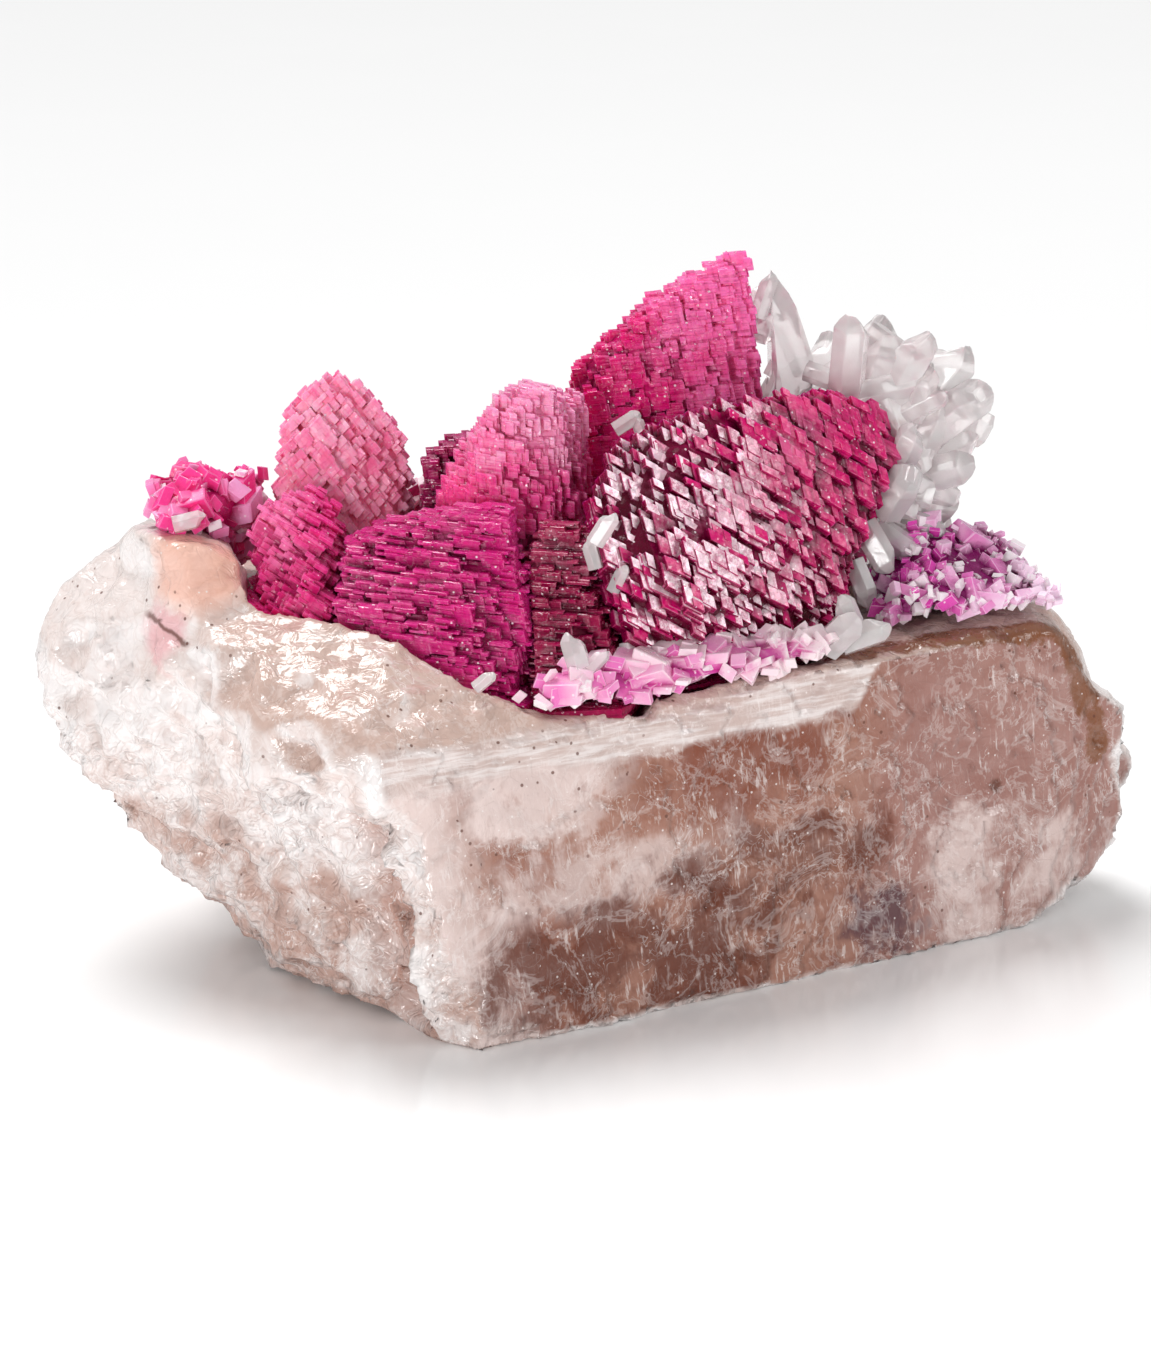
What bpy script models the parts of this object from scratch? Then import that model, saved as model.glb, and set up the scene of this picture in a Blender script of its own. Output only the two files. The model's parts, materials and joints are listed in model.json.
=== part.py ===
"""A cobaltocalcite specimen: stepped magenta crystals and a clear crystal cluster on a pale calcite block.

Lengths are in millimetres and are turned to metres when a mesh is made. X runs along the block, Y into it
and Z up. The origin is at the middle of the block's footprint, on the surface that it rests on.
"""

import itertools
import random

import bmesh
import bpy
from mathutils import Euler, Matrix, Vector, noise

MM = 0.001
CUBE_CORNERS = list(itertools.product((0.0, 1.0), repeat=3))
BLOCK_LENGTH = 90.0
FIT_GAP = 0.3
ROCK_GAP = 0.7
STEP_SLACK = 0.12
SMALLEST_STEP = 0.8
CORE_INSET = 1.3

ROCK_VOXEL = 1.2
ROCK_TRIANGLES = 1250
ROCK_LUMPS = (2.4, 7.5)
ROCK_CHIPS = (1.3, 4.2)
CLEAVED_SHARE = 0.12
REST_LEVEL = 0.35

CALCITE = ((0.78, 0.66, 0.62), 0.35)
MAGENTA = ((0.62, 0.03, 0.26), 0.2)
PINK = ((0.85, 0.20, 0.45), 0.2)
PLUM = ((0.38, 0.02, 0.18), 0.2)
MAUVE = ((0.70, 0.38, 0.55), 0.3)
CLEAR = ((0.90, 0.87, 0.86), 0.1)

# The block's lumps, each a convex body through its corners. The slab has the broad cleavage face at the front.
ROCK_BODIES = {
    "slab": (
        (-7.2, -31.3, 0.0), (-12.5, -28.5, 0.0), (37.3, -2.2, 0.0), (38.0, 10.0, 0.0), (26.0, 24.0, 0.0),
        (-12.0, 24.0, 0.0), (-14.0, -24.0, 0.0), (44.0, 5.0, 4.2), (45.2, 6.0, 9.6), (44.6, 14.0, 8.0),
        (43.4, 5.0, 14.8), (40.9, 4.0, 23.3), (39.0, 4.0, 26.2), (37.6, 0.6, 25.6), (38.0, 16.0, 23.0),
        (22.0, 28.0, 23.0), (-10.0, 29.0, 25.0), (-16.8, -32.6, 24.6), (-5.2, -25.8, 25.0), (4.2, -20.6, 24.2),
    ),
    "shoulder": (
        (-29.8, -20.0, 30.2), (-27.0, -14.0, 31.3), (-19.8, -17.5, 31.7), (-14.2, -20.5, 30.9), (-9.9, -22.6, 28.0),
        (-4.9, -24.6, 25.7), (-16.4, -32.4, 25.4), (-19.6, -31.2, 20.5), (-28.4, -23.0, 25.0), (-9.0, -29.0, 21.0),
        (-30.0, 12.0, 29.0), (-12.0, 24.0, 27.0), (-30.0, 10.0, 20.0), (-12.0, 24.0, 18.0),
    ),
    "flank": (
        (-18.0, -26.4, 22.0), (-30.0, -17.5, 25.0), (-26.5, -20.0, 13.0), (-33.8, -9.5, 7.4), (-36.0, -10.0, 12.5),
        (-25.2, -13.2, 0.6), (-18.8, -20.6, 2.2), (-14.2, -25.0, 3.6), (-13.0, -27.0, 1.2), (-10.0, -20.0, 0.0),
        (-24.0, 8.0, 0.0), (-32.0, 12.0, 8.0), (-14.0, 24.0, 2.0), (-30.0, 14.0, 24.0), (-12.0, 24.0, 24.0),
    ),
    "lobe": (
        (-36.9, -2.0, 34.8), (-40.9, -4.0, 31.1), (-43.5, -5.0, 27.6), (-44.6, -6.0, 22.9), (-42.3, -8.0, 18.0),
        (-40.1, -9.0, 16.2), (-36.4, -9.5, 13.2), (-34.6, -16.5, 24.0), (-31.8, -16.8, 32.0), (-29.0, -18.5, 29.0),
        (-27.0, -17.0, 18.0), (-40.0, 9.0, 27.0), (-39.0, 7.0, 19.0), (-33.0, 15.0, 28.0), (-28.0, 14.0, 14.0),
        (-35.0, 6.0, 34.0),
    ),
    "knob": (
        (-36.6, -3.0, 35.2), (-36.0, -9.0, 36.6), (-31.0, -14.0, 36.8), (-27.2, -13.6, 35.4), (-26.0, -15.0, 31.8),
        (-31.6, -17.0, 32.4), (-37.6, -9.0, 32.0), (-27.0, -6.0, 34.0), (-30.0, 0.0, 35.0), (-28.0, -8.0, 27.0),
    ),
    "back": (
        (-28.0, 14.0, 29.0), (-8.0, 27.5, 27.0), (12.0, 28.5, 26.0), (30.0, 23.0, 23.0), (36.0, 14.0, 24.0),
        (28.0, 10.0, 27.0), (-20.0, 10.0, 29.0), (-24.0, 16.0, 12.0), (0.0, 29.5, 12.0), (28.0, 24.0, 10.0),
        (8.0, 26.0, 3.0), (-16.0, 18.0, 3.0),
    ),
}

# Lines of broken lumps and of chips: start, end, how many and how large.
LUMP_LINES = (
    ((39.0, 6.0, 23.0), (43.8, 7.6, 14.0), 4, 3.2),
    ((43.2, 8.6, 12.0), (39.6, 5.0, 5.0), 2, 3.2),
    ((-30.0, -16.6, 25.0), (-20.0, -26.4, 20.6), 3, 3.8),
    ((-39.6, -4.0, 20.0), (-31.0, -8.4, 8.5), 3, 3.6),
    ((-31.0, -9.4, 8.0), (-20.0, -16.4, 4.4), 3, 3.2),
)
CHIP_LINES = (
    ((-3.0, -31.6, -0.8), (36.0, -5.6, -0.6), 6, 2.6),
    ((-19.6, -33.6, 22.0), (-9.6, -32.4, 2.0), 3, 2.0),
    ((-35.0, -18.6, 20.0), (-25.0, -22.4, 12.0), 3, 3.6),
    ((-24.0, -26.0, 16.0), (-17.0, -26.6, 7.0), 2, 3.2),
    ((-42.0, -10.0, 14.0), (-30.0, -16.0, 2.0), 3, 3.4),
    ((-36.0, 14.0, 20.0), (-26.0, 16.0, 4.0), 2, 5.0),
    ((-22.0, 27.0, 18.0), (26.0, 30.0, 10.0), 4, 6.0),
    ((38.0, 20.0, 16.0), (42.0, 14.0, 4.0), 2, 4.4),
)

# Thin layers split off the front face: corners as distances along the face and up it, and the depth.
FACE_CORNER = Vector((-7.2, -31.3, 0.0))
FACE_ALONG = Vector((0.848, 0.530, 0.0))
FACE_OUT = Vector((0.527, -0.844, 0.095))
FACE_UP = FACE_OUT.cross(FACE_ALONG) * -1.0
FACE_LAYERS = (
    (((9.0, 21.6), (26.0, 20.4), (54.0, 22.4), (54.0, 30.0), (9.0, 30.0)), 0.7),
    (((46.0, -2.0), (60.0, -2.0), (60.0, 9.0), (52.0, 8.0)), 1.1),
    (((-6.0, -2.0), (5.0, -2.0), (1.5, 9.0), (-4.0, 15.0), (-9.0, 12.0)), 0.8),
    (((19.0, -2.0), (33.0, -2.0), (30.0, 3.6), (21.0, 4.6)), 0.6),
)

# Each stepped crystal has its corners, its three step directions, how far apart its steps grow, the range
# of a step's length, and its colour. The steps run parallel through one crystal, as a lattice makes them.
STEPPED = {
    "shield_crystal": dict(
        corners=(
            (-1.2, -15.0, 42.0), (1.3, -13.0, 44.3), (9.2, -8.0, 46.2), (16.5, -3.0, 46.2), (21.6, 2.0, 45.8),
            (26.3, 6.0, 43.5), (28.4, 8.0, 39.2), (25.1, 4.0, 33.5), (24.1, 0.0, 31.2), (21.6, -4.0, 28.2),
            (18.6, -8.0, 25.2), (10.0, -14.0, 24.3), (4.4, -18.0, 24.7), (2.1, -18.4, 35.0), (9.0, -18.0, 34.0),
            (5.0, -8.0, 23.0), (19.0, 3.0, 23.0), (23.0, 12.0, 32.0), (20.0, 12.0, 42.0), (8.0, 2.0, 43.0),
            (1.5, -7.0, 38.0),
        ),
        steps=((0.83, 0.24, -0.50), (0.27, -0.65, -0.71), (-0.10, 0.60, -0.79)),
        spacing=4.9, reach=(3.2, 5.6), colour=MAGENTA,
    ),
    "terrace_crystal": dict(
        corners=(
            (-6.8, -13.0, 40.6), (-5.2, -14.0, 39.3), (-10.0, -11.0, 40.0), (-16.1, -9.0, 38.4), (-19.9, -13.0, 35.2),
            (-20.0, -17.0, 31.5), (-14.2, -20.0, 30.4), (-11.1, -21.5, 29.0), (-8.8, -22.2, 27.4), (-4.0, -21.0, 26.2),
            (-3.0, -18.0, 31.0), (-8.0, -4.0, 38.0), (-18.0, -4.0, 35.0), (-19.0, -14.0, 23.0), (-9.0, -19.0, 23.0),
            (-4.0, -18.5, 23.0), (-5.0, -4.0, 23.0), (-19.0, -3.0, 23.0),
        ),
        steps=((0.96, -0.28, -0.04), (0.26, 0.96, 0.02), (0.22, -0.10, -0.97)),
        spacing=4.7, reach=(2.4, 4.6), colour=MAGENTA,
    ),
    "front_crystal": dict(
        corners=(
            (-4.6, -12.0, 37.9), (0.5, -12.0, 38.7), (3.4, -12.0, 37.0), (4.2, -17.0, 32.8), (4.6, -19.6, 24.8),
            (-1.8, -21.4, 25.4), (-7.0, -21.8, 26.6), (-4.0, -18.0, 31.0), (4.0, -6.0, 34.0), (-5.0, -6.0, 34.0),
            (-6.0, -18.5, 23.0), (4.0, -17.0, 23.0), (4.0, -6.0, 23.0), (-6.0, -6.0, 23.0),
        ),
        steps=((0.97, -0.22, 0.02), (0.20, 0.97, 0.05), (0.10, -0.12, -0.98)),
        spacing=4.0, reach=(2.4, 4.4), colour=PLUM,
    ),
    "stair_crystal": dict(
        corners=(
            (-12.0, -4.0, 38.4), (-10.2, -6.0, 40.6), (-7.8, -6.0, 45.5), (-5.7, -5.0, 47.0), (-3.0, -4.0, 47.6),
            (-0.4, -3.0, 45.2), (-0.3, -6.0, 39.6), (-2.6, -12.0, 35.0), (-8.0, -10.0, 38.0), (-8.0, 4.0, 44.0),
            (-3.0, 5.0, 46.0), (0.5, 4.0, 44.0), (-10.0, -8.0, 23.0), (0.0, -8.0, 23.0), (0.0, 5.0, 23.0),
            (-12.0, 5.0, 23.0),
        ),
        steps=((0.96, -0.26, -0.06), (-0.28, 0.95, 0.02), (0.03, -0.13, -0.99)),
        spacing=4.2, reach=(2.2, 4.2), colour=PINK,
    ),
    "cone_crystal": dict(
        corners=(
            (-22.5, -8.0, 40.9), (-26.8, -10.0, 37.4), (-26.6, -14.0, 31.6), (-19.8, -16.8, 31.2), (-18.0, -14.0, 32.8),
            (-18.9, -8.0, 37.6), (-24.6, -3.0, 38.0), (-19.5, -2.5, 37.0), (-25.6, -12.0, 24.0), (-19.0, -14.0, 24.0),
            (-18.5, -3.0, 24.0), (-25.5, -3.0, 24.0),
        ),
        steps=((0.48, -0.20, 0.85), (0.84, -0.18, -0.50), (0.10, 0.98, 0.12)),
        spacing=3.7, reach=(2.2, 4.0), colour=PINK,
    ),
    "barrel_crystal": dict(
        corners=(
            (-26.2, 0.0, 40.2), (-25.6, 0.0, 44.4), (-23.0, 1.0, 46.8), (-19.2, 2.0, 46.8), (-16.0, 3.0, 44.2),
            (-13.4, 3.0, 39.4), (-14.8, 0.0, 36.3), (-18.3, -4.2, 35.2), (-22.7, -3.4, 39.8), (-22.0, 8.0, 44.0),
            (-18.0, 9.0, 43.4), (-14.6, 9.0, 38.0), (-24.0, 0.0, 24.0), (-16.0, -2.0, 24.0), (-14.0, 8.0, 24.0),
            (-24.0, 7.0, 24.0),
        ),
        steps=((-0.70, -0.22, -0.68), (0.63, -0.20, -0.75), (-0.05, 0.98, -0.20)),
        spacing=4.4, reach=(2.4, 4.6), colour=PINK,
    ),
    "peak_crystal": dict(
        corners=(
            (-3.0, 8.0, 43.6), (6.7, 8.0, 53.3), (11.6, 8.0, 54.9), (14.5, 9.0, 54.9), (15.3, 10.0, 48.0),
            (14.4, 8.0, 42.6), (10.0, 5.0, 41.0), (-0.6, 4.5, 41.0), (0.0, 16.0, 42.0), (7.0, 17.0, 51.0),
            (14.0, 15.0, 53.0), (0.0, 3.5, 23.0), (13.0, 4.0, 23.0), (15.0, 15.0, 23.0), (0.0, 17.0, 23.0),
        ),
        steps=((0.98, -0.10, 0.12), (-0.10, 0.99, 0.06), (0.20, -0.14, -0.97)),
        spacing=4.9, reach=(2.6, 5.0), colour=MAGENTA,
    ),
    "seam_crystal": dict(
        corners=(
            (-13.8, 2.0, 40.2), (-11.6, 2.0, 42.4), (-8.4, 2.5, 43.6), (-7.0, 4.0, 40.0), (-7.0, 8.0, 40.0),
            (-13.0, 8.0, 38.0), (-13.6, -2.0, 34.0), (-8.0, -3.0, 34.0), (-13.0, -2.0, 23.0), (-7.0, -2.0, 23.0),
            (-7.0, 8.0, 23.0), (-13.0, 8.0, 23.0),
        ),
        steps=((0.97, -0.18, 0.10), (-0.10, 0.98, 0.05), (0.10, -0.10, -0.98)),
        spacing=4.0, reach=(2.4, 4.2), colour=PLUM,
    ),
}

# A crust has a convex bed, how far apart its small blocky crystals stand, the range of their sizes, and its
# colour. Its bed is cut to the shape of what it lies on. A calcite cleavage block's edges give the crystals' shape.
RHOMB = ((1.0, 0.0, 0.0), (0.2, 0.98, 0.0), (0.2, 0.16, 0.96))
CRUSTS = {
    "mauve_crystal": dict(
        bed=((16.2, 3.0, 44.0), (21.0, 5.0, 46.6), (22.6, 7.0, 44.0), (17.0, 9.0, 43.0), (18.0, 12.0, 24.0)),
        spacing=5.0, sizes=(3.0, 3.8), colour=MAUVE,
    ),
    "right_druse": dict(
        bed=(
            (22.8, -4.6, 26.0), (28.2, 6.0, 29.6), (33.2, 8.0, 30.4), (38.2, 5.0, 26.6), (30.5, -2.4, 25.4),
            (26.0, 12.0, 27.0), (36.0, 12.0, 26.0), (30.0, 4.0, 22.0),
        ),
        spacing=3.3, sizes=(2.8, 4.0), colour=MAGENTA,
    ),
    "left_druse": dict(
        bed=(
            (-34.8, -8.0, 36.4), (-31.3, -4.0, 38.2), (-26.8, -2.0, 37.2), (-30.4, -13.0, 37.0), (-33.0, 2.0, 35.4),
            (-30.0, -4.0, 32.0), (-26.6, 0.0, 30.0), (-30.0, 4.0, 30.0),
        ),
        spacing=3.7, sizes=(2.4, 3.8), colour=PINK,
    ),
    "rim_crust": dict(
        bed=(
            (-8.6, -24.4, 27.2), (-4.4, -24.0, 26.4), (4.6, -21.2, 25.4), (12.0, -16.6, 25.9), (19.0, -11.6, 26.8),
            (23.4, -7.2, 27.8), (21.4, -6.0, 28.4), (18.0, -9.6, 26.4), (4.0, -19.4, 25.2), (6.0, -16.0, 22.0),
        ),
        spacing=2.6, sizes=(1.8, 3.0), colour=MAUVE,
    ),
    "back_druse": dict(
        bed=(
            (-22.0, 12.0, 31.0), (-8.0, 20.0, 31.0), (10.0, 22.0, 30.0), (24.0, 18.0, 28.0), (20.0, 12.0, 30.0),
            (-12.0, 10.0, 32.0), (0.0, 18.0, 24.0),
        ),
        spacing=6.0, sizes=(4.4, 6.4), colour=PINK,
    ),
}

# The clear crystals are stubby prisms on a shared bed: tip and width of each.
CLEAR_ROOT = Vector((21.0, 12.0, 33.0))
CLEAR_BED = (
    (16.5, 13.0, 20.0), (27.0, 9.0, 20.0), (29.0, 11.0, 38.0), (26.6, 11.0, 42.6), (21.6, 10.0, 44.0),
    (17.0, 15.0, 41.0), (25.0, 17.0, 22.0), (17.0, 18.0, 22.0), (25.0, 17.0, 39.0),
)
CLEAR_PRISMS = (
    ((21.9, 6.6, 49.2), 2.6), ((24.8, 9.6, 46.6), 3.4), ((27.6, 8.6, 47.2), 3.0), ((30.6, 11.4, 45.4), 3.8),
    ((32.4, 9.4, 42.6), 3.2), ((32.2, 12.0, 39.0), 3.8), ((31.4, 8.0, 37.0), 2.8), ((29.6, 10.0, 33.6), 3.8),
    ((28.8, 7.0, 31.4), 2.8), ((29.4, 9.6, 28.6), 3.4), ((28.0, 14.0, 43.4), 3.8), ((24.0, 15.0, 46.6), 4.0),
    ((30.0, 16.0, 37.0), 4.0), ((20.0, 16.0, 45.0), 3.6), ((26.0, 20.0, 40.0), 4.0), ((22.0, 21.0, 33.0), 4.0),
)
CLEAR_BLADE = (
    (15.2, 12.0, 53.6), (17.4, 12.4, 50.6), (19.1, 12.6, 45.4), (16.0, 11.0, 45.0), (15.0, 15.0, 51.0),
    (18.0, 15.6, 45.0), (15.6, 17.0, 24.0), (19.2, 15.6, 24.0), (18.6, 12.6, 32.0),
)


def new_object(name, mesh, home="cutters"):
    """An object in the specimen's collection, or a hidden cutter."""
    made = bpy.data.objects.new(name, mesh)
    bpy.data.collections[home].objects.link(made)
    made.hide_render = home == "cutters"
    made.display_type = "WIRE" if made.hide_render else "TEXTURED"
    return made


def hull_mesh(name, corners, grow=0.0):
    """The convex body through these corners, with every face at least grow further out."""
    shape = bmesh.new()
    for corner in corners:
        for side in CUBE_CORNERS if grow else CUBE_CORNERS[:1]:
            shape.verts.new((Vector(corner) + (Vector(side) * 2.0 - Vector((1.0, 1.0, 1.0))) * grow) * MM)
    bmesh.ops.convex_hull(shape, input=shape.verts)
    bmesh.ops.delete(shape, geom=[v for v in shape.verts if not v.link_faces], context="VERTS")
    bmesh.ops.recalc_face_normals(shape, faces=shape.faces)
    mesh = bpy.data.meshes.new(name)
    shape.to_mesh(mesh)
    shape.free()
    return mesh


def hull_object(name, corners, grow=0.0, home="cutters"):
    return new_object(name, hull_mesh(name, corners, grow), home)


def bake(obj):
    """Turns an object's modifiers into its mesh."""
    graph = bpy.context.evaluated_depsgraph_get()
    made = bpy.data.meshes.new_from_object(obj.evaluated_get(graph))
    obj.modifiers.clear()
    obj.data = made


def boolean(target, operation, others):
    """Joins the others to an object or cuts them from it."""
    group = bpy.data.collections.new(target.name + "_operands")
    for other in others:
        group.objects.link(other)
    change = target.modifiers.new(operation.lower(), "BOOLEAN")
    change.operation = operation
    change.solver = "EXACT"
    change.operand_type = "COLLECTION"
    change.collection = group
    bpy.context.scene.collection.children.link(group)
    bake(target)
    bpy.data.collections.remove(group)


def largest_body(obj):
    """Keeps the largest body of faces that share edges, where a cut left crumbs."""
    shape = bmesh.new()
    shape.from_mesh(obj.data)
    left = set(shape.faces)
    bodies = []
    while left:
        front = [left.pop()]
        body = set(front)
        while front:
            for edge in front.pop().edges:
                for face in edge.link_faces:
                    if face in left:
                        left.discard(face)
                        body.add(face)
                        front.append(face)
        bodies.append(body)
    keep = max(bodies, key=len)
    bmesh.ops.delete(shape, geom=[f for f in shape.faces if f not in keep], context="FACES")
    shape.to_mesh(obj.data)
    shape.free()


def finish(obj, colour):
    """Gives a piece its material. Broken and grown faces stay flat."""
    (red, green, blue), roughness = colour
    material = bpy.data.materials.new(obj.name)
    material.use_nodes = True
    shader = material.node_tree.nodes["Principled BSDF"]
    shader.inputs["Base Color"].default_value = (red, green, blue, 1.0)
    shader.inputs["Roughness"].default_value = roughness
    material.diffuse_color = (red, green, blue, 1.0)
    obj.data.materials.clear()
    obj.data.materials.append(material)


def broken_corners(centre, size, rand):
    """The corners of a small broken lump, scattered over a stretched ball."""
    stretch = Vector([rand.uniform(0.6, 1.3) * size for _ in range(3)])
    return [Vector(centre) + Vector([rand.gauss(0.0, 1.0) for _ in range(3)]).normalized() * stretch for _ in range(9)]


def along_lines(lines, rand):
    """The corners of each lump or chip along the lines, spaced evenly with some play."""
    for start, end, count, size in lines:
        for number in range(count):
            share = (number + rand.uniform(0.2, 0.8)) / count
            play = Vector([rand.uniform(-0.4, 0.4) * size for _ in range(3)])
            yield broken_corners(Vector(start).lerp(Vector(end), share) + play, size, rand)


def face_layer(outline, depth):
    """The corners of a thin layer of the front face, from just under it to well outside."""
    for along, up in outline:
        for out in (-depth, 4.0):
            yield FACE_CORNER + FACE_ALONG * along + FACE_UP * up + FACE_OUT * out


def share(value, low, high):
    """How far a value has come from low to high, held between 0 and 1."""
    return min(1.0, max(0.0, (value - low) / (high - low)))


def roughen(mesh):
    """Breaks the block's skin inwards into lumps and chips. Its cleaved front and its top take little of it."""
    for vert in mesh.vertices:
        point = vert.co / MM
        lump = 0.5 - 0.5 * noise.noise(point / ROCK_LUMPS[1])
        chip = noise.noise(point / ROCK_CHIPS[1], noise_basis="VORONOI_F2F1")
        cleaved = max(share(vert.normal.dot(FACE_OUT), 0.7, 0.93), share(vert.normal.z, 0.5, 0.8))
        broken = share(point.z, REST_LEVEL, 3.0) * (1.0 - (1.0 - CLEAVED_SHARE) * cleaved)
        vert.co -= vert.normal * MM * broken * (ROCK_LUMPS[0] * lump + ROCK_CHIPS[0] * chip)


def calcite_block():
    """The pale block that everything grows on, with the bodies that it is joined from."""
    rand = random.Random("block")
    bodies = list(ROCK_BODIES.values()) + list(along_lines(LUMP_LINES, rand))
    block = hull_object("calcite_matrix", bodies[0], home="cobaltocalcite")
    boolean(block, "UNION", [hull_object(f"lump_{n}", corners) for n, corners in enumerate(bodies[1:])])
    chips = list(along_lines(CHIP_LINES, rand))
    boolean(block, "DIFFERENCE", [hull_object(f"chip_{n}", corners) for n, corners in enumerate(chips)])
    skin = block.modifiers.new("skin", "REMESH")
    skin.mode = "VOXEL"
    skin.voxel_size = ROCK_VOXEL * MM
    bake(block)
    roughen(block.data)
    thin = block.modifiers.new("thin", "DECIMATE")
    thin.ratio = ROCK_TRIANGLES / sum(len(face.vertices) - 2 for face in block.data.polygons)
    bake(block)
    under = list(itertools.product((-60.0, 60.0), (-60.0, 60.0), (-20.0, REST_LEVEL)))
    layers = [under] + [list(face_layer(*layer)) for layer in FACE_LAYERS]
    boolean(block, "DIFFERENCE", [hull_object(f"layer_{n}", corners) for n, corners in enumerate(layers)])
    return block, bodies


def surface_points(mesh, spacing, rand):
    """Points scattered over a convex body's faces, at least the spacing apart, each with its face's normal."""
    found = []
    mesh.calc_loop_triangles()
    for triangle in mesh.loop_triangles:
        a, b, c = (mesh.vertices[i].co / MM for i in triangle.vertices)
        wanted = 6 + int(12.0 * triangle.area / MM**2 / spacing**2)
        for _ in range(wanted):
            s, t = rand.random(), rand.random()
            if s + t > 1.0:
                s, t = 1.0 - s, 1.0 - t
            point = a + (b - a) * s + (c - a) * t
            if all((point - other).length > spacing for other, _ in found):
                found.append((point, triangle.normal.copy()))
    return found


def fits(point, planes):
    """Whether a point lies within every plane, give or take the slack."""
    return all((point - spot).dot(normal) < STEP_SLACK for spot, normal in planes)


def step_edges(tip, normal, steps, reach, planes, rand):
    """The three edges of a step at this tip, running inwards and shortened until the step stays in the outline."""
    edges = []
    for step in steps:
        direction = Vector(step).normalized()
        if direction.dot(normal) > 0.0:
            direction.negate()
        edges.append(direction * rand.uniform(*reach))
    for _ in range(12):
        late = [edge for edge in edges if not fits(tip + edge, planes)]
        if not late:
            if all(fits(tip + Matrix(edges).transposed() @ Vector(c), planes) for c in CUBE_CORNERS):
                return edges
            late = edges
        for edge in late:
            edge *= 0.85
    return None


def step_block(name, tip, edges):
    """A slanting block with one corner at the tip and these three edges."""
    shape = bmesh.new()
    bmesh.ops.create_cube(shape, size=1.0)
    bmesh.ops.translate(shape, vec=Vector((0.5, 0.5, 0.5)), verts=shape.verts)
    frame = Matrix(edges).transposed()
    for vert in shape.verts:
        vert.co = (tip + frame @ vert.co) * MM
    bmesh.ops.recalc_face_normals(shape, faces=shape.faces)
    mesh = bpy.data.meshes.new(name)
    shape.to_mesh(mesh)
    shape.free()
    return new_object(name, mesh)


def core_mesh(outline, planes):
    """The body inside an outline, with each of its planes moved inwards."""
    shape = bmesh.new()
    shape.from_mesh(outline)
    for spot, normal in planes:
        cut = bmesh.ops.bisect_plane(
            shape,
            geom=shape.verts[:] + shape.edges[:] + shape.faces[:],
            plane_co=(spot - normal * CORE_INSET) * MM,
            plane_no=normal,
            clear_outer=True,
        )
        edges = [part for part in cut["geom_cut"] if isinstance(part, bmesh.types.BMEdge)]
        if edges:
            bmesh.ops.contextual_create(shape, geom=edges)
    bmesh.ops.recalc_face_normals(shape, faces=shape.faces)
    mesh = bpy.data.meshes.new(outline.name + "_core")
    shape.to_mesh(mesh)
    shape.free()
    return mesh


def stepped_crystal(name, corners, steps, spacing, reach):
    """A crystal built of parallel blocks whose corners all reach one convex outline."""
    rand = random.Random(name)
    outline = hull_mesh(name + "_outline", corners)
    planes = [(polygon.center / MM, polygon.normal.copy()) for polygon in outline.polygons]
    crystal = new_object(name, core_mesh(outline, planes), home="cobaltocalcite")
    blocks = []
    for number, (tip, normal) in enumerate(surface_points(outline, spacing, rand)):
        edges = step_edges(tip, normal, steps, reach, planes, rand)
        if edges and min(edge.length for edge in edges) > SMALLEST_STEP:
            blocks.append(step_block(f"{name}_block_{number}", tip, edges))
    boolean(crystal, "UNION", blocks)
    return crystal


def prism_corners(root, tip, width, rand):
    """The corners of a six-sided prism from its root to its pointed tip."""
    axis = (tip - root).normalized()
    side = axis.cross(Vector((rand.uniform(-1.0, 1.0), rand.uniform(-1.0, 1.0), 0.3))).normalized()
    across = axis.cross(side) * rand.uniform(0.55, 0.9)
    length = (tip - root).length
    shoulder = tip - axis * min(width * 0.4, length * 0.4)
    ring = [side * 0.5, side * 0.25 + across * 0.43, across * 0.43 - side * 0.25]
    ring += [-corner for corner in ring]
    return [end + corner * width * scale for corner in ring for end, scale in ((root, 0.8), (shoulder, 1.0))] + [tip]


def rhomb_corners(centre, size, rand):
    """The corners of a slanting block in any direction."""
    turn = Euler([rand.uniform(0.0, 6.28) for _ in range(3)]).to_matrix()
    edges = [turn @ Vector(edge) * size * rand.uniform(0.7, 1.2) for edge in RHOMB]
    return [centre + Matrix(edges).transposed() @ (Vector(c) - Vector((0.5, 0.5, 0.5))) for c in CUBE_CORNERS]


def crust(name, bed, spacing, sizes):
    """A bed covered with small blocky crystals, and the corners of all of it."""
    rand = random.Random(name)
    ground = hull_mesh(name + "_bed", bed)
    piece = hull_object(name, bed, home="cobaltocalcite")
    bodies = [bed]
    for point, normal in surface_points(ground, spacing, rand):
        if normal.z > -0.2:
            size = rand.uniform(*sizes)
            bodies.append(rhomb_corners(point + normal * size * 0.15, size, rand))
    boolean(piece, "UNION", [hull_object(f"{name}_crystal_{n}", b) for n, b in enumerate(bodies[1:])])
    return piece, bodies


def clear_cluster():
    """Colourless prisms spreading from behind the shield crystal."""
    rand = random.Random("clear")
    piece = hull_object("clear_cluster", CLEAR_BED, home="cobaltocalcite")
    bodies = [CLEAR_BED]
    for tip, width in CLEAR_PRISMS:
        play = Vector([rand.uniform(-2.5, 2.5) for _ in range(3)])
        root = CLEAR_ROOT.lerp(Vector(tip), 0.4) + play
        bodies.append(prism_corners(root, Vector(tip), width, rand))
    boolean(piece, "UNION", [hull_object(f"clear_prism_{n}", b) for n, b in enumerate(bodies[1:])])
    return piece, bodies


def rooms(name, bodies, grow):
    """The space that these convex bodies take up, with the gap that their neighbours keep."""
    return [hull_object(f"{name}_room_{number}", corners, grow) for number, corners in enumerate(bodies)]


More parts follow.
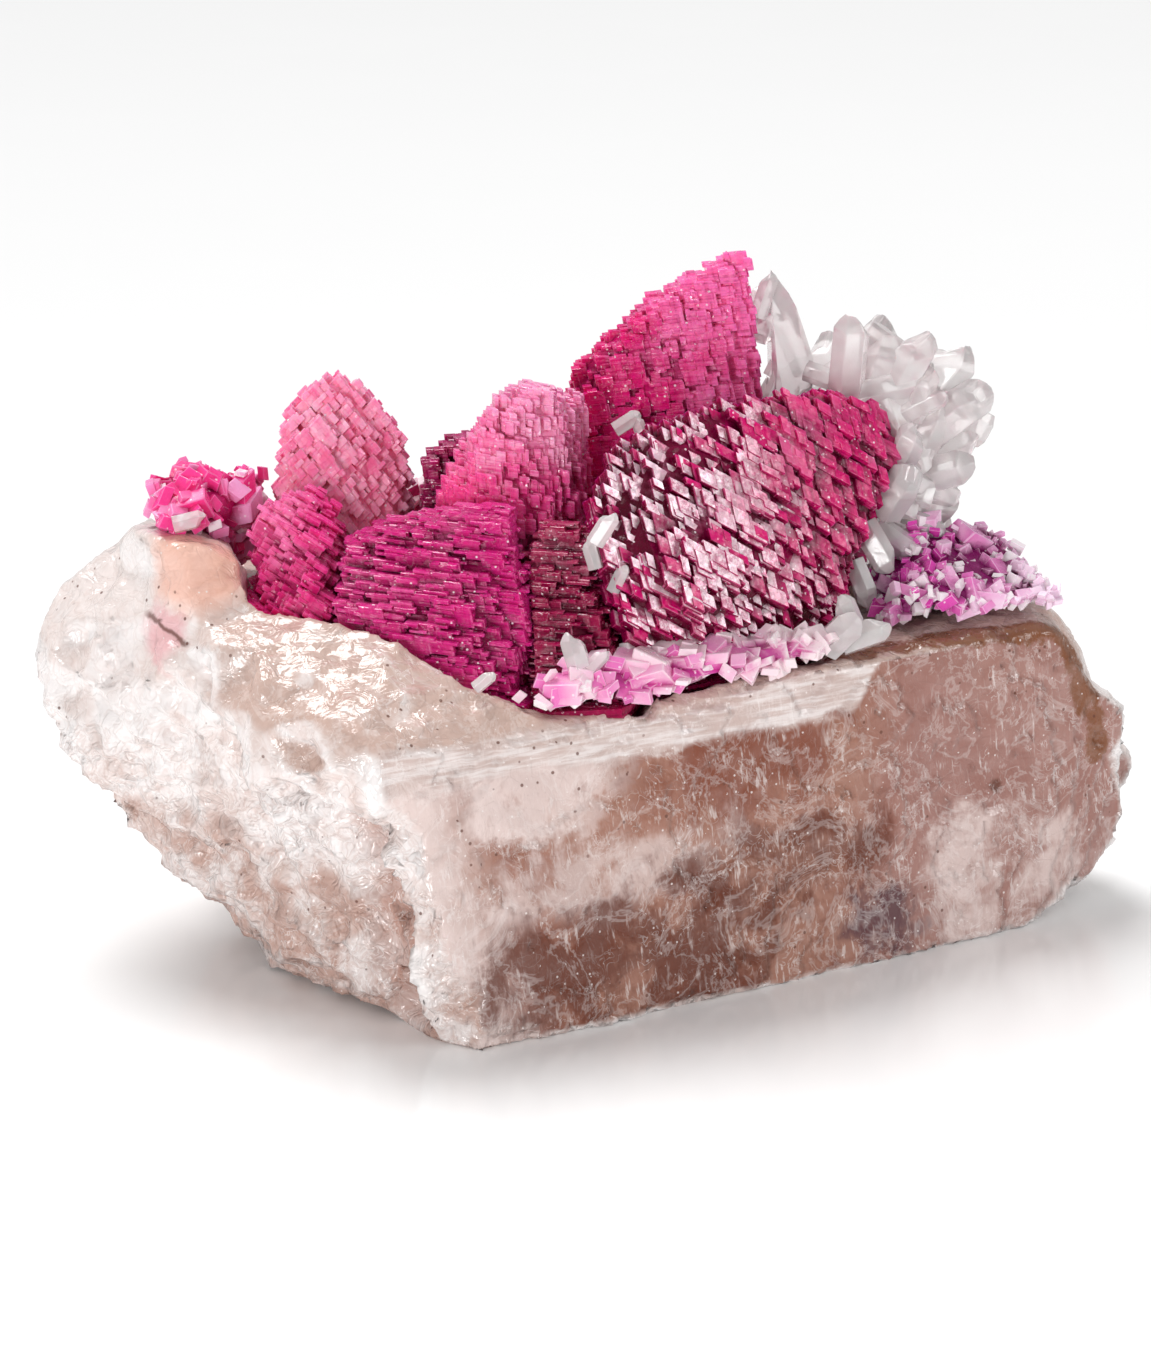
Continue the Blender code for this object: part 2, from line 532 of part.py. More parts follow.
def centre_specimen():
    """Moves and scales the whole specimen so that it has its length, with its footprint's middle at the origin."""
    pieces = list(bpy.data.collections["cobaltocalcite"].objects)
    points = [vert.co for piece in pieces for vert in piece.data.vertices]
    low, high = (Vector([pick(p[axis] for p in points) for axis in range(3)]) for pick in (min, max))
    scale = BLOCK_LENGTH * MM / (high.x - low.x)
    middle = Vector(((low.x + high.x) / 2.0, (low.y + high.y) / 2.0, low.z))
    print("centred by", [round(v / MM, 3) for v in middle], "scaled by", round(scale, 4))
    for piece in pieces:
        for vert in piece.data.vertices:
            vert.co = (vert.co - middle) * scale


def build():
    for obj in list(bpy.data.objects):
        bpy.data.objects.remove(obj)
    for home in ("cobaltocalcite", "cutters"):
        bpy.context.scene.collection.children.link(bpy.data.collections.new(home))
    block, block_bodies = calcite_block()
    finish(block, CALCITE)
    taken = []
    for name, made in STEPPED.items():
        crystal = stepped_crystal(name, made["corners"], made["steps"], made["spacing"], made["reach"])
        if taken:
            boolean(crystal, "DIFFERENCE", taken)
        largest_body(crystal)
        finish(crystal, made["colour"])
        taken += rooms(name, [made["corners"]], FIT_GAP + STEP_SLACK)
    boolean(block, "DIFFERENCE", taken)
    largest_body(block)
    taken += rooms("block", block_bodies, ROCK_GAP)

    cluster, cluster_bodies = clear_cluster()
    blade = hull_object("clear_blade", CLEAR_BLADE, home="cobaltocalcite")
    later = [(cluster, cluster_bodies, CLEAR), (blade, [CLEAR_BLADE], CLEAR)]
    for name, made in CRUSTS.items():
        colour = made.pop("colour")
        piece, bodies = crust(name, **made)
        later.append((piece, bodies, colour))
    for piece, bodies, colour in later:
        boolean(piece, "DIFFERENCE", taken)
        largest_body(piece)
        finish(piece, colour)
        taken += rooms(piece.name, bodies, FIT_GAP)
    centre_specimen()


build()
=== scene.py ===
"""The looks of a cobaltocalcite specimen: stepped magenta crystals and clear ones on a broken calcite block.

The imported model's frame is in metres, with X along the block, Y away from the viewer and Z up. Places and
sizes here are written in millimetres, and become metres when a mesh is made.
"""

import json
import math
import random

import bmesh
import bpy
import numpy as np
from mathutils import Matrix, Vector, noise

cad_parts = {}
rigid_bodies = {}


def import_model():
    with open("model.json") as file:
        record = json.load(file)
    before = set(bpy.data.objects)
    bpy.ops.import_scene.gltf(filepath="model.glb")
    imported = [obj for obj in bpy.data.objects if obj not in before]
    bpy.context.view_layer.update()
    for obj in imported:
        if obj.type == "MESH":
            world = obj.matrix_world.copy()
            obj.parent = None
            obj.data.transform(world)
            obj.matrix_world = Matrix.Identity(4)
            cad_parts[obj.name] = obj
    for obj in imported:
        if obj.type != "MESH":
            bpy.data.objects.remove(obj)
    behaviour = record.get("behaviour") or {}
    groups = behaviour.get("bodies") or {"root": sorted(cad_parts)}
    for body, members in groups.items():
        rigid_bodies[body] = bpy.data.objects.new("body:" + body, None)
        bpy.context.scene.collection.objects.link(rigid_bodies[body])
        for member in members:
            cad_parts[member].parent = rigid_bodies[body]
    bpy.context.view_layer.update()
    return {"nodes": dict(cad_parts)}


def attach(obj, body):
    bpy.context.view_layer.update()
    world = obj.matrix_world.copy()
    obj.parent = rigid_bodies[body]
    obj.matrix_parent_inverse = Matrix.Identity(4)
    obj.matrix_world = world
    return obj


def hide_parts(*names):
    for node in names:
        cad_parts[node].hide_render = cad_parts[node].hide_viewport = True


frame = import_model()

MM = 0.001
TO_METRES = Matrix.Scale(MM, 4)

VIEW_HEIGHT = math.radians(17.0)
VIEW_DISTANCE = 447.4
VIEW_CENTRE = Vector((-1.5, 1.4, 20.3))
LENS_LENGTH = 145.0
FLOOR_WIDTH = 8000.0

# The rock's skin: its grain in millimetres, and the way its cleaved front faces.
ROCK_GRAIN = 0.44
CLEAVAGE_OUT = Vector((0.527, -0.844, 0.095)).normalized()

# Each stepped crystal has its three step directions and its rows of broad steps. A row has how far apart
# the steps grow, the shortest and longest step along each direction and how far they may lean, in degrees.
# Fine steps then grow on the faces of the broad ones: how far apart, how long each way, how proud, and lean.
# The wave is how deep the crystal's broad hollows are.
STEPPED = {
    "shield_crystal": dict(
        directions=((0.82, 0.32, -0.53), (0.21, -0.30, -0.84), (-0.35, 0.75, -0.56)), wave=0.3,
        rows=(
            (2.4, (1.8, 3.6), (1.4, 3.0), (2.0, 3.0), 2.0),
            (1.4, (1.2, 2.6), (0.9, 2.0), (1.4, 2.2), 3.0),
        ),
        fine=(1.0, (0.6, 2.0), (0.5, 1.5), (0.5, 1.2), (0.02, 0.15), 3.5),
    ),
    "peak_crystal": dict(
        directions=((0.98, -0.10, 0.12), (-0.10, 0.99, 0.06), (0.20, -0.14, -0.97)), wave=0.35,
        rows=(
            (1.9, (1.3, 2.6), (1.3, 2.6), (1.3, 2.6), 1.2),
            (1.1, (0.7, 1.5), (0.7, 1.5), (0.8, 1.6), 2.0),
        ),
        fine=(0.68, (0.3, 1.0), (0.3, 1.0), (0.3, 0.9), (0.02, 0.15), 2.5),
    ),
    "stair_crystal": dict(
        directions=((0.96, -0.26, -0.06), (-0.28, 0.95, 0.02), (0.03, -0.13, -0.99)), wave=0.3,
        rows=(
            (2.0, (1.0, 2.2), (1.2, 2.4), (1.4, 3.2), 1.2),
            (1.0, (0.6, 1.3), (0.7, 1.4), (0.6, 1.7), 2.0),
        ),
        fine=(0.62, (0.25, 0.8), (0.3, 0.9), (0.25, 1.2), (0.03, 0.2), 2.5),
    ),
    "terrace_crystal": dict(
        directions=((0.96, -0.28, -0.04), (0.26, 0.96, 0.02), (0.22, -0.10, -0.97)), wave=0.15,
        rows=(
            (1.7, (1.6, 3.6), (1.4, 2.8), (1.0, 2.4), 0.8),
            (1.0, (1.0, 2.2), (0.9, 1.8), (0.5, 1.2), 1.2),
        ),
        fine=(0.62, (0.5, 2.0), (0.4, 1.2), (0.14, 0.34), (0.02, 0.10), 1.2),
    ),
    "front_crystal": dict(
        directions=((0.97, -0.22, 0.02), (0.20, 0.97, 0.05), (0.10, -0.12, -0.98)), wave=0.15,
        rows=(
            (1.6, (1.5, 3.4), (1.2, 2.6), (1.0, 2.2), 0.8),
            (1.0, (1.0, 2.2), (0.8, 1.6), (0.5, 1.1), 1.2),
        ),
        fine=(0.62, (0.5, 2.0), (0.4, 1.0), (0.12, 0.32), (0.02, 0.10), 1.2),
    ),
    "cone_crystal": dict(
        directions=((0.48, -0.20, 0.85), (0.84, -0.18, -0.50), (0.10, 0.98, 0.12)), wave=0.2,
        rows=(
            (1.9, (1.0, 2.2), (1.2, 2.6), (1.2, 2.2), 3.0),
            (0.95, (0.4, 1.0), (0.8, 2.0), (0.7, 1.4), 4.0),
        ),
        fine=(0.62, (0.15, 0.5), (0.4, 1.5), (0.3, 0.9), (0.02, 0.18), 5.0),
    ),
    "barrel_crystal": dict(
        directions=((-0.70, -0.22, -0.68), (0.63, -0.20, -0.75), (-0.05, 0.98, -0.20)), wave=0.3,
        rows=(
            (2.0, (1.2, 2.6), (1.2, 2.6), (1.4, 2.6), 1.5),
            (1.1, (0.7, 1.6), (0.7, 1.6), (0.8, 1.6), 2.5),
        ),
        fine=(0.7, (0.3, 1.0), (0.3, 1.0), (0.3, 0.9), (0.03, 0.22), 3.0),
    ),
    "seam_crystal": dict(
        directions=((0.97, -0.18, 0.10), (-0.10, 0.98, 0.05), (0.10, -0.10, -0.98)), wave=0.3,
        rows=(
            (2.0, (1.2, 2.6), (1.2, 2.4), (0.7, 1.5), 1.5),
            (1.1, (0.7, 1.5), (0.7, 1.5), (0.5, 1.0), 2.5),
        ),
        fine=(0.8, (0.4, 1.1), (0.4, 1.0), (0.2, 0.6), (0.03, 0.2), 3.0),
    ),
}
# Where a crystal's foot spreads against the rock: it is cut off above a level, given by a point and a slope.
LEFT_FOOT = ((-5.0, 0.0, 25.0), (0.25, 0.0, 1.0))
BACK_FOOT = ((0.0, 0.0, 27.5), (0.0, 0.0, 1.0))
FRONT_FOOT = ((0.0, 0.0, 24.6), (0.0, 0.0, 1.0))
FEET = {
    "terrace_crystal": LEFT_FOOT, "cone_crystal": LEFT_FOOT, "barrel_crystal": LEFT_FOOT,
    "stair_crystal": BACK_FOOT, "seam_crystal": BACK_FOOT, "peak_crystal": BACK_FOOT,
    "front_crystal": FRONT_FOOT, "shield_crystal": FRONT_FOOT,
}
FOOT_SPREAD = 1.1
CORE_DEPTH = 0.75
HILL_WIDTH = 5.0
LOWEST_STEP = 22.0
STEP_BEVEL = 0.045
PROUD = 0.5

# A cleavage block's three edges give the small loose crystals their lean.
CLEAVAGE_BLOCK = ((1.0, 0.0, 0.0), (0.2, 0.98, 0.0), (0.2, 0.16, 0.96))
CRUST_CORE_DEPTH = 1.2
# Each crust: how flat its crystals are and how many leans each one picks the flattest lie from, then in two rows
# how far apart they stand and their least and most size.
CRUSTS = {
    "mauve_crystal": (0.8, 1, (2.2, 1.6, 3.0), (1.2, 0.7, 1.4)),
    "right_druse": (0.5, 1, (1.7, 1.3, 2.8), (0.85, 0.5, 1.3)),
    "left_druse": (0.5, 3, (2.0, 1.8, 3.4), (1.0, 0.8, 1.7)),
    "rim_crust": (0.4, 6, (2.2, 2.6, 4.6), (1.3, 1.2, 2.4)),
    "back_druse": (0.8, 1, (3.2, 2.6, 4.6), (1.7, 1.2, 2.2)),
}


# ------------------------------------------------------------------ working with pieces


def pick(piece):
    """Leaves one piece selected and active."""
    bpy.ops.object.select_all(action="DESELECT")
    piece.select_set(True)
    bpy.context.view_layer.objects.active = piece


def apply_modifiers(piece):
    pick(piece)
    for modifier in list(piece.modifiers):
        bpy.ops.object.modifier_apply(modifier=modifier.name)


def in_edit_mode(piece, *steps):
    """Runs edit-mode steps on one piece, with all of it selected first."""
    pick(piece)
    bpy.ops.object.mode_set(mode="EDIT")
    bpy.ops.mesh.select_all(action="SELECT")
    for step in steps:
        step()
    bpy.ops.object.mode_set(mode="OBJECT")


def new_piece(name, mesh, home=None):
    piece = bpy.data.objects.new(name, mesh)
    (home or bpy.context.scene.collection).objects.link(piece)
    return piece


def node_copy(node, name):
    """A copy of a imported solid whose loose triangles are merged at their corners."""
    piece = new_piece(name, frame["nodes"][node].data.copy())
    piece.data.materials.clear()
    in_edit_mode(piece, lambda: bpy.ops.mesh.remove_doubles(threshold=1e-6))
    return piece


def points_of(mesh):
    """A mesh's points in millimetres."""
    points = np.empty(len(mesh.vertices) * 3)
    mesh.vertices.foreach_get("co", points)
    return points.reshape(-1, 3) / MM


def normals_of(mesh):
    normals = np.empty(len(mesh.vertices) * 3)
    mesh.vertices.foreach_get("normal", normals)
    return normals.reshape(-1, 3)


def keep_value(piece, name, values):
    """Stores one number per point, for the materials to read."""
    stored = piece.data.attributes.new(name, "FLOAT", "POINT")
    stored.data.foreach_set("value", np.asarray(values, np.float32))


def ramp(values, low, high):
    """0 below low, 1 above high and a smooth rise between, or a fall when low is above high."""
    share = np.clip((values - low) / (high - low), 0.0, 1.0)
    return share * share * (3.0 - 2.0 * share)


def dress(piece, look, slot, *nodes):
    """Gives a finished piece its material, attaches it to the root body and hides the imported nodes it stands for.
    """
    piece.data.materials.clear()
    piece.data.materials.append(look)
    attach(piece, "root")
    if nodes:
        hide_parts(*nodes)
    return piece


# ------------------------------------------------------------------ outlines and growth steps

CORNER_SHARES = np.array([(a, b, c) for a in (-0.5, 0.5) for b in (-0.5, 0.5) for c in (-0.5, 0.5)])


class Skin:
    """A mesh's faces as places to grow things on."""

    def __init__(self, mesh):
        mesh.calc_loop_triangles()
        corners = np.empty(len(mesh.loop_triangles) * 3, int)
        mesh.loop_triangles.foreach_get("vertices", corners)
        self.set_faces(points_of(mesh)[corners].reshape(-1, 3, 3))

    def set_faces(self, corners):
        self.corners = corners
        across = np.cross(corners[:, 1] - corners[:, 0], corners[:, 2] - corners[:, 0])
        self.areas = np.linalg.norm(across, axis=1) / 2
        self.normals = across / np.maximum(self.areas, 1e-12)[:, None] / 2

    def scatter(self, spacing, chance, lowest):
        """Points over the skin that keep their distance, each with its face's normal."""
        tries = int(self.areas.sum() / spacing**2 * 4)
        faces = chance.choice(len(self.areas), tries, p=self.areas / self.areas.sum())
        across, along = chance.random(tries), chance.random(tries)
        over = across + along > 1
        across[over], along[over] = 1 - across[over], 1 - along[over]
        corners = self.corners[faces]
        points = corners[:, 0] + across[:, None] * (corners[:, 1] - corners[:, 0])
        points += along[:, None] * (corners[:, 2] - corners[:, 0])
        kept, cells = [], {}
        for index, point in enumerate(points):
            if point[2] < lowest:
                continue
            cell = tuple((point // spacing).astype(int))
            near = [
                other
                for a in (-1, 0, 1) for b in (-1, 0, 1) for c in (-1, 0, 1)
                for other in cells.get((cell[0] + a, cell[1] + b, cell[2] + c), ())
            ]
            if near and ((points[near] - point) ** 2).sum(1).min() < spacing**2:
                continue
            cells.setdefault(cell, []).append(index)
            kept.append(index)
        return points[kept], self.normals[faces[kept]]


class Outline(Skin):
    """The convex outline that a crystal's steps grow inside."""

    def __init__(self, points):
        hull = bmesh.new()
        for point in points:
            hull.verts.new(point)
        made = bmesh.ops.convex_hull(hull, input=hull.verts)
        spare = set(made["geom_interior"]) | set(made["geom_unused"])
        bmesh.ops.delete(hull, geom=[part for part in spare if isinstance(part, bmesh.types.BMVert)], context="VERTS")
        bmesh.ops.triangulate(hull, faces=hull.faces)
        hull.normal_update()
        self.set_faces(np.array([[tuple(vert.co) for vert in face.verts] for face in hull.faces]))
        hull.free()
        middle = self.corners.reshape(-1, 3).mean(0)
        inward = ((self.corners[:, 0] - middle) * self.normals).sum(1) < 0
        self.normals[inward] *= -1
        self.heights = (self.corners[:, 0] * self.normals).sum(1)

    def rise(self, points):
        """How far points stand out of the outline, below 0 inside it."""
        return (points @ self.normals.T - self.heights).max(-1)

    def core(self, name, depth, home, level=None):
        """A solid with every face of the outline moved in, or out for a depth under 0, cut off above a level."""
        pick_none()
        bpy.ops.mesh.primitive_cube_add(size=1.0)
        piece = bpy.context.object
        piece.name = name
        low, high = self.corners.reshape(-1, 3).min(0), self.corners.reshape(-1, 3).max(0)
        piece.data.transform(Matrix.Diagonal((*(high - low + 2 * max(-depth, 0.0)), 1.0)))
        piece.data.transform(Matrix.Translation((low + high) / 2))

        cuts = {tuple(np.round((*normal, height), 2)) for normal, height in zip(self.normals, self.heights)}

        def cut():
            for *normal, height in sorted(cuts):
                bpy.ops.mesh.select_all(action="SELECT")
                bpy.ops.mesh.bisect(
                    plane_co=Vector(normal) * (height - depth), plane_no=normal,
                    use_fill=True, clear_outer=True, threshold=1e-5,
                )
            if level:
                bpy.ops.mesh.select_all(action="SELECT")
                bpy.ops.mesh.bisect(
                    plane_co=level[0], plane_no=level[1], use_fill=True, clear_outer=True, threshold=1e-5
                )

        in_edit_mode(piece, cut)
        piece.data.transform(TO_METRES)
        bpy.context.scene.collection.objects.unlink(piece)
        home.objects.link(piece)
        return piece


def pick_none():
    bpy.ops.object.select_all(action="DESELECT")


def make_step_block():
    """One growth step: a block a millimetre wide, with its edges just broken and marked, for gloss and a painted
    highlight along them.
    """
    pick_none()
    bpy.ops.mesh.primitive_cube_add(size=1.0)
    block = bpy.context.object
    in_edit_mode(block, lambda: bpy.ops.mesh.bevel(offset=STEP_BEVEL, segments=1, affect="EDGES"))
    mesh = block.data
    worn = mesh.attributes.new("worn", "FLOAT", "FACE")
    for face in mesh.polygons:
        worn.data[face.index].value = float(max(abs(share) for share in face.normal) < 0.95)
    mesh.attributes.new("tint", "FLOAT", "FACE")
    bpy.data.objects.remove(block)
    return mesh


def place_block(mesh, edges, middle, tint, home):
    """A copy of the step block, stretched along three edges, with a tint of its own."""
    placed = mesh.copy()
    placed.attributes["tint"].data.foreach_set("value", [tint] * len(placed.polygons))
    matrix = Matrix.Identity(4)
    for column, edge in enumerate(edges):
        matrix.col[column][:3] = edge
    matrix.translation = middle
    placed.transform(TO_METRES @ matrix)
    if matrix.to_3x3().determinant() < 0:
        placed.flip_normals()
    return new_piece("step", placed, home)


def join_all(piece, home):
    """Joins everything in a collection to a piece as one closed solid."""
    if piece.name in home.objects:
        home.objects.unlink(piece)
    if piece.name not in bpy.context.scene.collection.objects:
        bpy.context.scene.collection.objects.link(piece)
    joined = piece.modifiers.new("join", "BOOLEAN")
    joined.operation = "UNION"
    joined.operand_type = "COLLECTION"
    joined.collection = home
    joined.solver = "MANIFOLD"
    apply_modifiers(piece)
    for spare in list(home.objects):
        bpy.data.meshes.remove(spare.data)
    bpy.data.collections.remove(home)
    return piece


def workbench(name):
    bench = bpy.data.collections.new(name)
    bpy.context.scene.collection.children.link(bench)
    return bench


def shortened_to_fit(outline, leaned, lengths, middle_of):
    """Shortens each step until all its corners stay in the outline. Returns the edges and middles that fit."""
    for _ in range(7):
        edges = leaned * lengths[:, :, None]
        middles = middle_of(edges)
        corners = middles[:, None] + np.einsum("kj,njx->nkx", CORNER_SHARES, edges)
        too_far = outline.rise(corners).max(1) > PROUD
        lengths[too_far] *= 0.8
    return edges[~too_far], middles[~too_far]


def leaning(directions, count, lean, chance):
    """The step directions for each of a number of steps, a few degrees off the crystal's own."""
    directions = np.array([Vector(direction).normalized() for direction in directions])
    turns = chance.normal(0, math.radians(lean) / 2, (count, 3))
    return directions[None] + np.cross(turns[:, None], directions[None])


def hidden(points, outline):
    """Which points lie deep inside another crystal."""
    others = [other for other in crystal_outlines.values() if other is not outline]
    return np.min([other.rise(points) for other in others], axis=0) < -1.2


def grow_broad(outline, directions, row, wave, chance, lowest):
    """Broad steps, each with its outermost corner on or just under the outline."""
    spacing, *reaches, lean = row
    points, outward = outline.scatter(spacing, chance, lowest)
    seen = ~hidden(points, outline)
    points, outward = points[seen], outward[seen]
    leaned = leaning(directions, len(points), lean, chance)
    lengths = np.stack([chance.uniform(low, high, len(points)) for low, high in reaches], 1)
    hills = np.array([noise.noise(Vector(point) / HILL_WIDTH) for point in points])
    sunk = chance.uniform(0, 0.16, len(points)) + wave * np.maximum(hills * 2.0, 0.0)
    points = points - outward * sunk[:, None]
    signs = np.sign((leaned * outward[:, None]).sum(2))
    return shortened_to_fit(
        outline, leaned, lengths, lambda edges: points - 0.5 * (edges * signs[:, :, None]).sum(1)
    )


def grow_fine(piece, outline, directions, row, chance, lowest):
    """Fine steps that stand a little out of the faces that the piece already has."""
    spacing, *reaches, proud, lean = row
    points, outward = Skin(piece.data).scatter(spacing, chance, lowest)
    seen = ~hidden(points, outline)
    points, outward = points[seen], outward[seen]
    leaned = leaning(directions, len(points), lean, chance)
    lengths = np.stack([chance.uniform(low, high, len(points)) for low, high in reaches], 1)
    slopes = (leaned * outward[:, None]).sum(2)
    through = np.abs(slopes).argmax(1)
    every = np.arange(len(points))
    side = np.sign(slopes[every, through])
    tops = points + outward * chance.uniform(*proud, len(points))[:, None]
    return shortened_to_fit(
        outline, leaned, lengths, lambda edges: tops - 0.5 * edges[every, through] * side[:, None]
    )


def keep_plates(crystal, directions):
    """Marks the faces that lie flat along the first two step directions, on the side toward the viewer."""
    along, down, _ = (Vector(direction) for direction in directions)
    plate = down.cross(along).normalized()
    marked = crystal.data.attributes.new("plate", "FLOAT", "FACE")
    facing = np.array([face.normal.dot(plate) for face in crystal.data.polygons])
    marked.data.foreach_set("value", ramp(facing, 0.9, 0.98).astype(np.float32))


def stepped_crystal(node, plan, step_mesh, seed):
    """A crystal of parallel growth steps over a plain core, broad ones first and then fine ones on their faces."""
    chance = np.random.default_rng(seed)
    outline = crystal_outlines[node]
    bench = workbench(node + "_steps")
    core = outline.core(node + "_look", CORE_DEPTH, bench)
    outline.core(node + "_foot", -FOOT_SPREAD, bench, FEET[node])
    for row in plan["rows"]:
        for edges, middle in zip(*grow_broad(outline, plan["directions"], row, plan["wave"], chance, LOWEST_STEP)):
            place_block(step_mesh, edges, middle, chance.random(), bench)
    crystal = join_all(core, bench)
    bench = workbench(node + "_fine_steps")
    for edges, middle in zip(*grow_fine(crystal, outline, plan["directions"], plan["fine"], chance, LOWEST_STEP)):
        place_block(step_mesh, edges, middle, chance.random(), bench)
    crystal = join_all(crystal, bench)
    crystal.name = node + "_look"
    keep_value(crystal, "depth", -outline.rise(points_of(crystal.data)))
    keep_plates(crystal, plan["directions"])
    print(node, len(crystal.data.polygons), "faces")
    return crystal


# ------------------------------------------------------------------ crusts, clear crystals and rock


def block_turns(count, chance):
    """Random turns, as rows of three edge directions of a leaning cleavage block."""
    lean = np.array(CLEAVAGE_BLOCK)
    turned = []
    for _ in range(count):
        turn = Matrix.Rotation(chance.uniform(0, math.tau), 3, Vector(chance.normal(size=3)).normalized())
        turned.append(lean @ np.array(turn).T)
    return np.array(turned)


def crystal_crust(node, flatness, leans, rows, step_mesh, seed):
    """A crust of small crystals that stand at all angles on a shared bed."""
    chance = np.random.default_rng(seed)
    outline = Outline(points_of(node_copies[node].data))
    bench = workbench(node + "_crystals")
    core = outline.core(node + "_look", CRUST_CORE_DEPTH, bench)
    count = 0
    for spacing, smallest, largest in rows:
        points, outward = outline.scatter(spacing, chance, LOWEST_STEP)
        hills = np.array([noise.noise(Vector(point) / 3.0) for point in points])
        points = points - outward * (chance.uniform(0, 0.6, len(points)) + 1.6 * np.maximum(hills, 0.0))[:, None]
        for point, out in zip(points, outward):
            turn = max(block_turns(leans, chance), key=lambda edges: abs(edges[2] @ out))
            size = chance.uniform(smallest, largest)
            for _ in range(6):
                edges = turn * size * np.array([[1.0], [0.8], [flatness]])
                middle = point - 0.5 * (edges * np.sign(turn @ out)[:, None]).sum(0)
                corners = middle + CORNER_SHARES @ edges
                if outline.rise(corners).max() < PROUD:
                    place_block(step_mesh, edges, middle, chance.random(), bench)
                    count += 1
                    break
                size *= 0.85
    crust = join_all(core, bench)
    crust.name = node + "_look"
    keep_value(crust, "depth", -outline.rise(points_of(crust.data)))
    print(node, count, "crystals", len(crust.data.polygons), "faces")
    return crust


def make_prism():
    """A stubby six-sided prism a millimetre wide, from its blunt tip at the origin down to a millimetre below."""
    pick_none()
    bpy.ops.mesh.primitive_cylinder_add(vertices=6, radius=0.5, depth=1.0, location=(0.0, 0.0, -0.5))
    prism = bpy.context.object
    bpy.ops.object.transform_apply()

    def blunt_tip():
        bpy.ops.mesh.select_all(action="DESELECT")
        shape = bmesh.from_edit_mesh(prism.data)
        for face in shape.faces:
            face.select = face.normal.z > 0.9
        bmesh.update_edit_mesh(prism.data)
        bpy.ops.transform.translate(value=(0.0, 0.0, -0.34))
        bpy.ops.mesh.extrude_region_move(TRANSFORM_OT_translate={"value": (0.04, 0.0, 0.22)})
        bpy.ops.transform.resize(value=(0.74, 0.66, 1.0))
        bpy.ops.mesh.extrude_region_move(TRANSFORM_OT_translate={"value": (0.02, 0.03, 0.12)})
        bpy.ops.transform.resize(value=(0.55, 0.45, 1.0))
        bpy.ops.mesh.select_all(action="SELECT")
        bpy.ops.mesh.bevel(offset=0.035, segments=2, affect="EDGES")

    in_edit_mode(prism, blunt_tip)
    mesh = prism.data
    bpy.data.objects.remove(prism)
    return mesh


def place_prism(mesh, tip, root, width, roll, home):
    """A copy of the prism from a tip back to a root."""
    placed = mesh.copy()
    axis = Vector(tip) - Vector(root)
    length = axis.length
    points = points_of(placed) * MM * width
    points[points[:, 2] < -0.7 * width, 2] -= max(length - width, 0.0)
    placed.vertices.foreach_set("co", points.ravel())
    turn = axis.to_track_quat("Z", "Y").to_matrix().to_4x4() @ Matrix.Rotation(roll, 4, "Z")
    placed.transform(TO_METRES @ Matrix.Translation(tip) @ turn)
    return new_piece("prism", placed, home)


def clear_cluster(prism_mesh, seed):
    """Stubby clear prisms that fan out from one root, joined in one solid."""
    chance = np.random.default_rng(seed)
    bench = workbench("clear_prisms")
    root = Vector(CLEAR_ROOT)
    outline = Outline(points_of(node_copies["clear_cluster"].data))
    bed = Outline(np.array(CLEAR_BED)).core("clear_cluster_look", 0.0, bench)
    for tip, width in CLEAR_TIPS:
        tip = Vector(tip)
        axis = (tip - root).normalized()
        place_prism(prism_mesh, tip, tip - axis * 9.0, width * 1.2, chance.uniform(0, math.tau), bench)
        for _ in range(8):
            aside = Vector(chance.normal(size=3))
            aside -= axis * aside.dot(axis)
            near = tip - axis * chance.uniform(0.6, 6.0) + aside.normalized() * width * chance.uniform(0.5, 1.1)
            lean = Vector(chance.normal(size=3)) * 0.6
            size = width * chance.uniform(0.5, 0.9)
            foot = near - (axis + lean).normalized() * size * chance.uniform(1.8, 2.6)
            if outline.rise(np.array([near])).max() < -0.3:
                place_prism(prism_mesh, near, foot, size, chance.uniform(0, math.tau), bench)
    return join_all(bed, bench)


def clear_blade(prism_mesh, seed):
    """The clear blade behind the peak, with a few prisms grown along it."""
    chance = np.random.default_rng(seed)
    outline = Outline(points_of(node_copies["clear_blade"].data))
    bench = workbench("blade_prisms")
    core = outline.core("clear_blade_look", 0.15, bench)
    points, outward = outline.scatter(2.4, chance, 34.0)
    for point, out in zip(points, outward):
        width = chance.uniform(1.4, 2.4)
        axis = (Vector(out) * 0.5 + Vector((0.1, 0.0, 1.0))).normalized()
        tip = Vector(point) - Vector(out) * width * 0.45
        place_prism(prism_mesh, tip, tip - axis * chance.uniform(3.0, 5.0), width, chance.uniform(0, math.tau), bench)
    return join_all(core, bench)


def clear_grains(prism_mesh, seed):
    """Small clear crystals that sit loosely among the others."""
    chance = np.random.default_rng(seed)
    bench = workbench("clear_grain_prisms")
    grains = None
    for (spot, axis, width, length) in CLEAR_GRAINS:
        spot, axis = Vector(spot), Vector(axis).normalized()
        grains = place_prism(
            prism_mesh, spot + axis * length / 2, spot - axis * length / 2, width, chance.uniform(0, math.tau), bench
        )
    grains.name = "clear_grains_look"
    return join_all(grains, bench)


def noise_over(points, size, octaves=4, shift=0.0):
    """Soft noise about 0 at each point, with features of about the given size."""
    away = Vector((shift, 2 * shift, -shift))
    return np.array([noise.fractal(Vector(point) / size + away, 0.8, 2.1, octaves) for point in points])


def ridges_over(points, size, shift=0.0):
    """Ridged noise at each point, from 0 in the hollows to about 1 along sharp crests."""
    away = Vector((shift, -shift, shift))
    return np.array([
        1.0 - 2.0 * abs(noise.noise(Vector(point) / size + away)) - 0.5 * abs(noise.noise(Vector(point) / size * 2.3 + away))
        for point in points
    ])


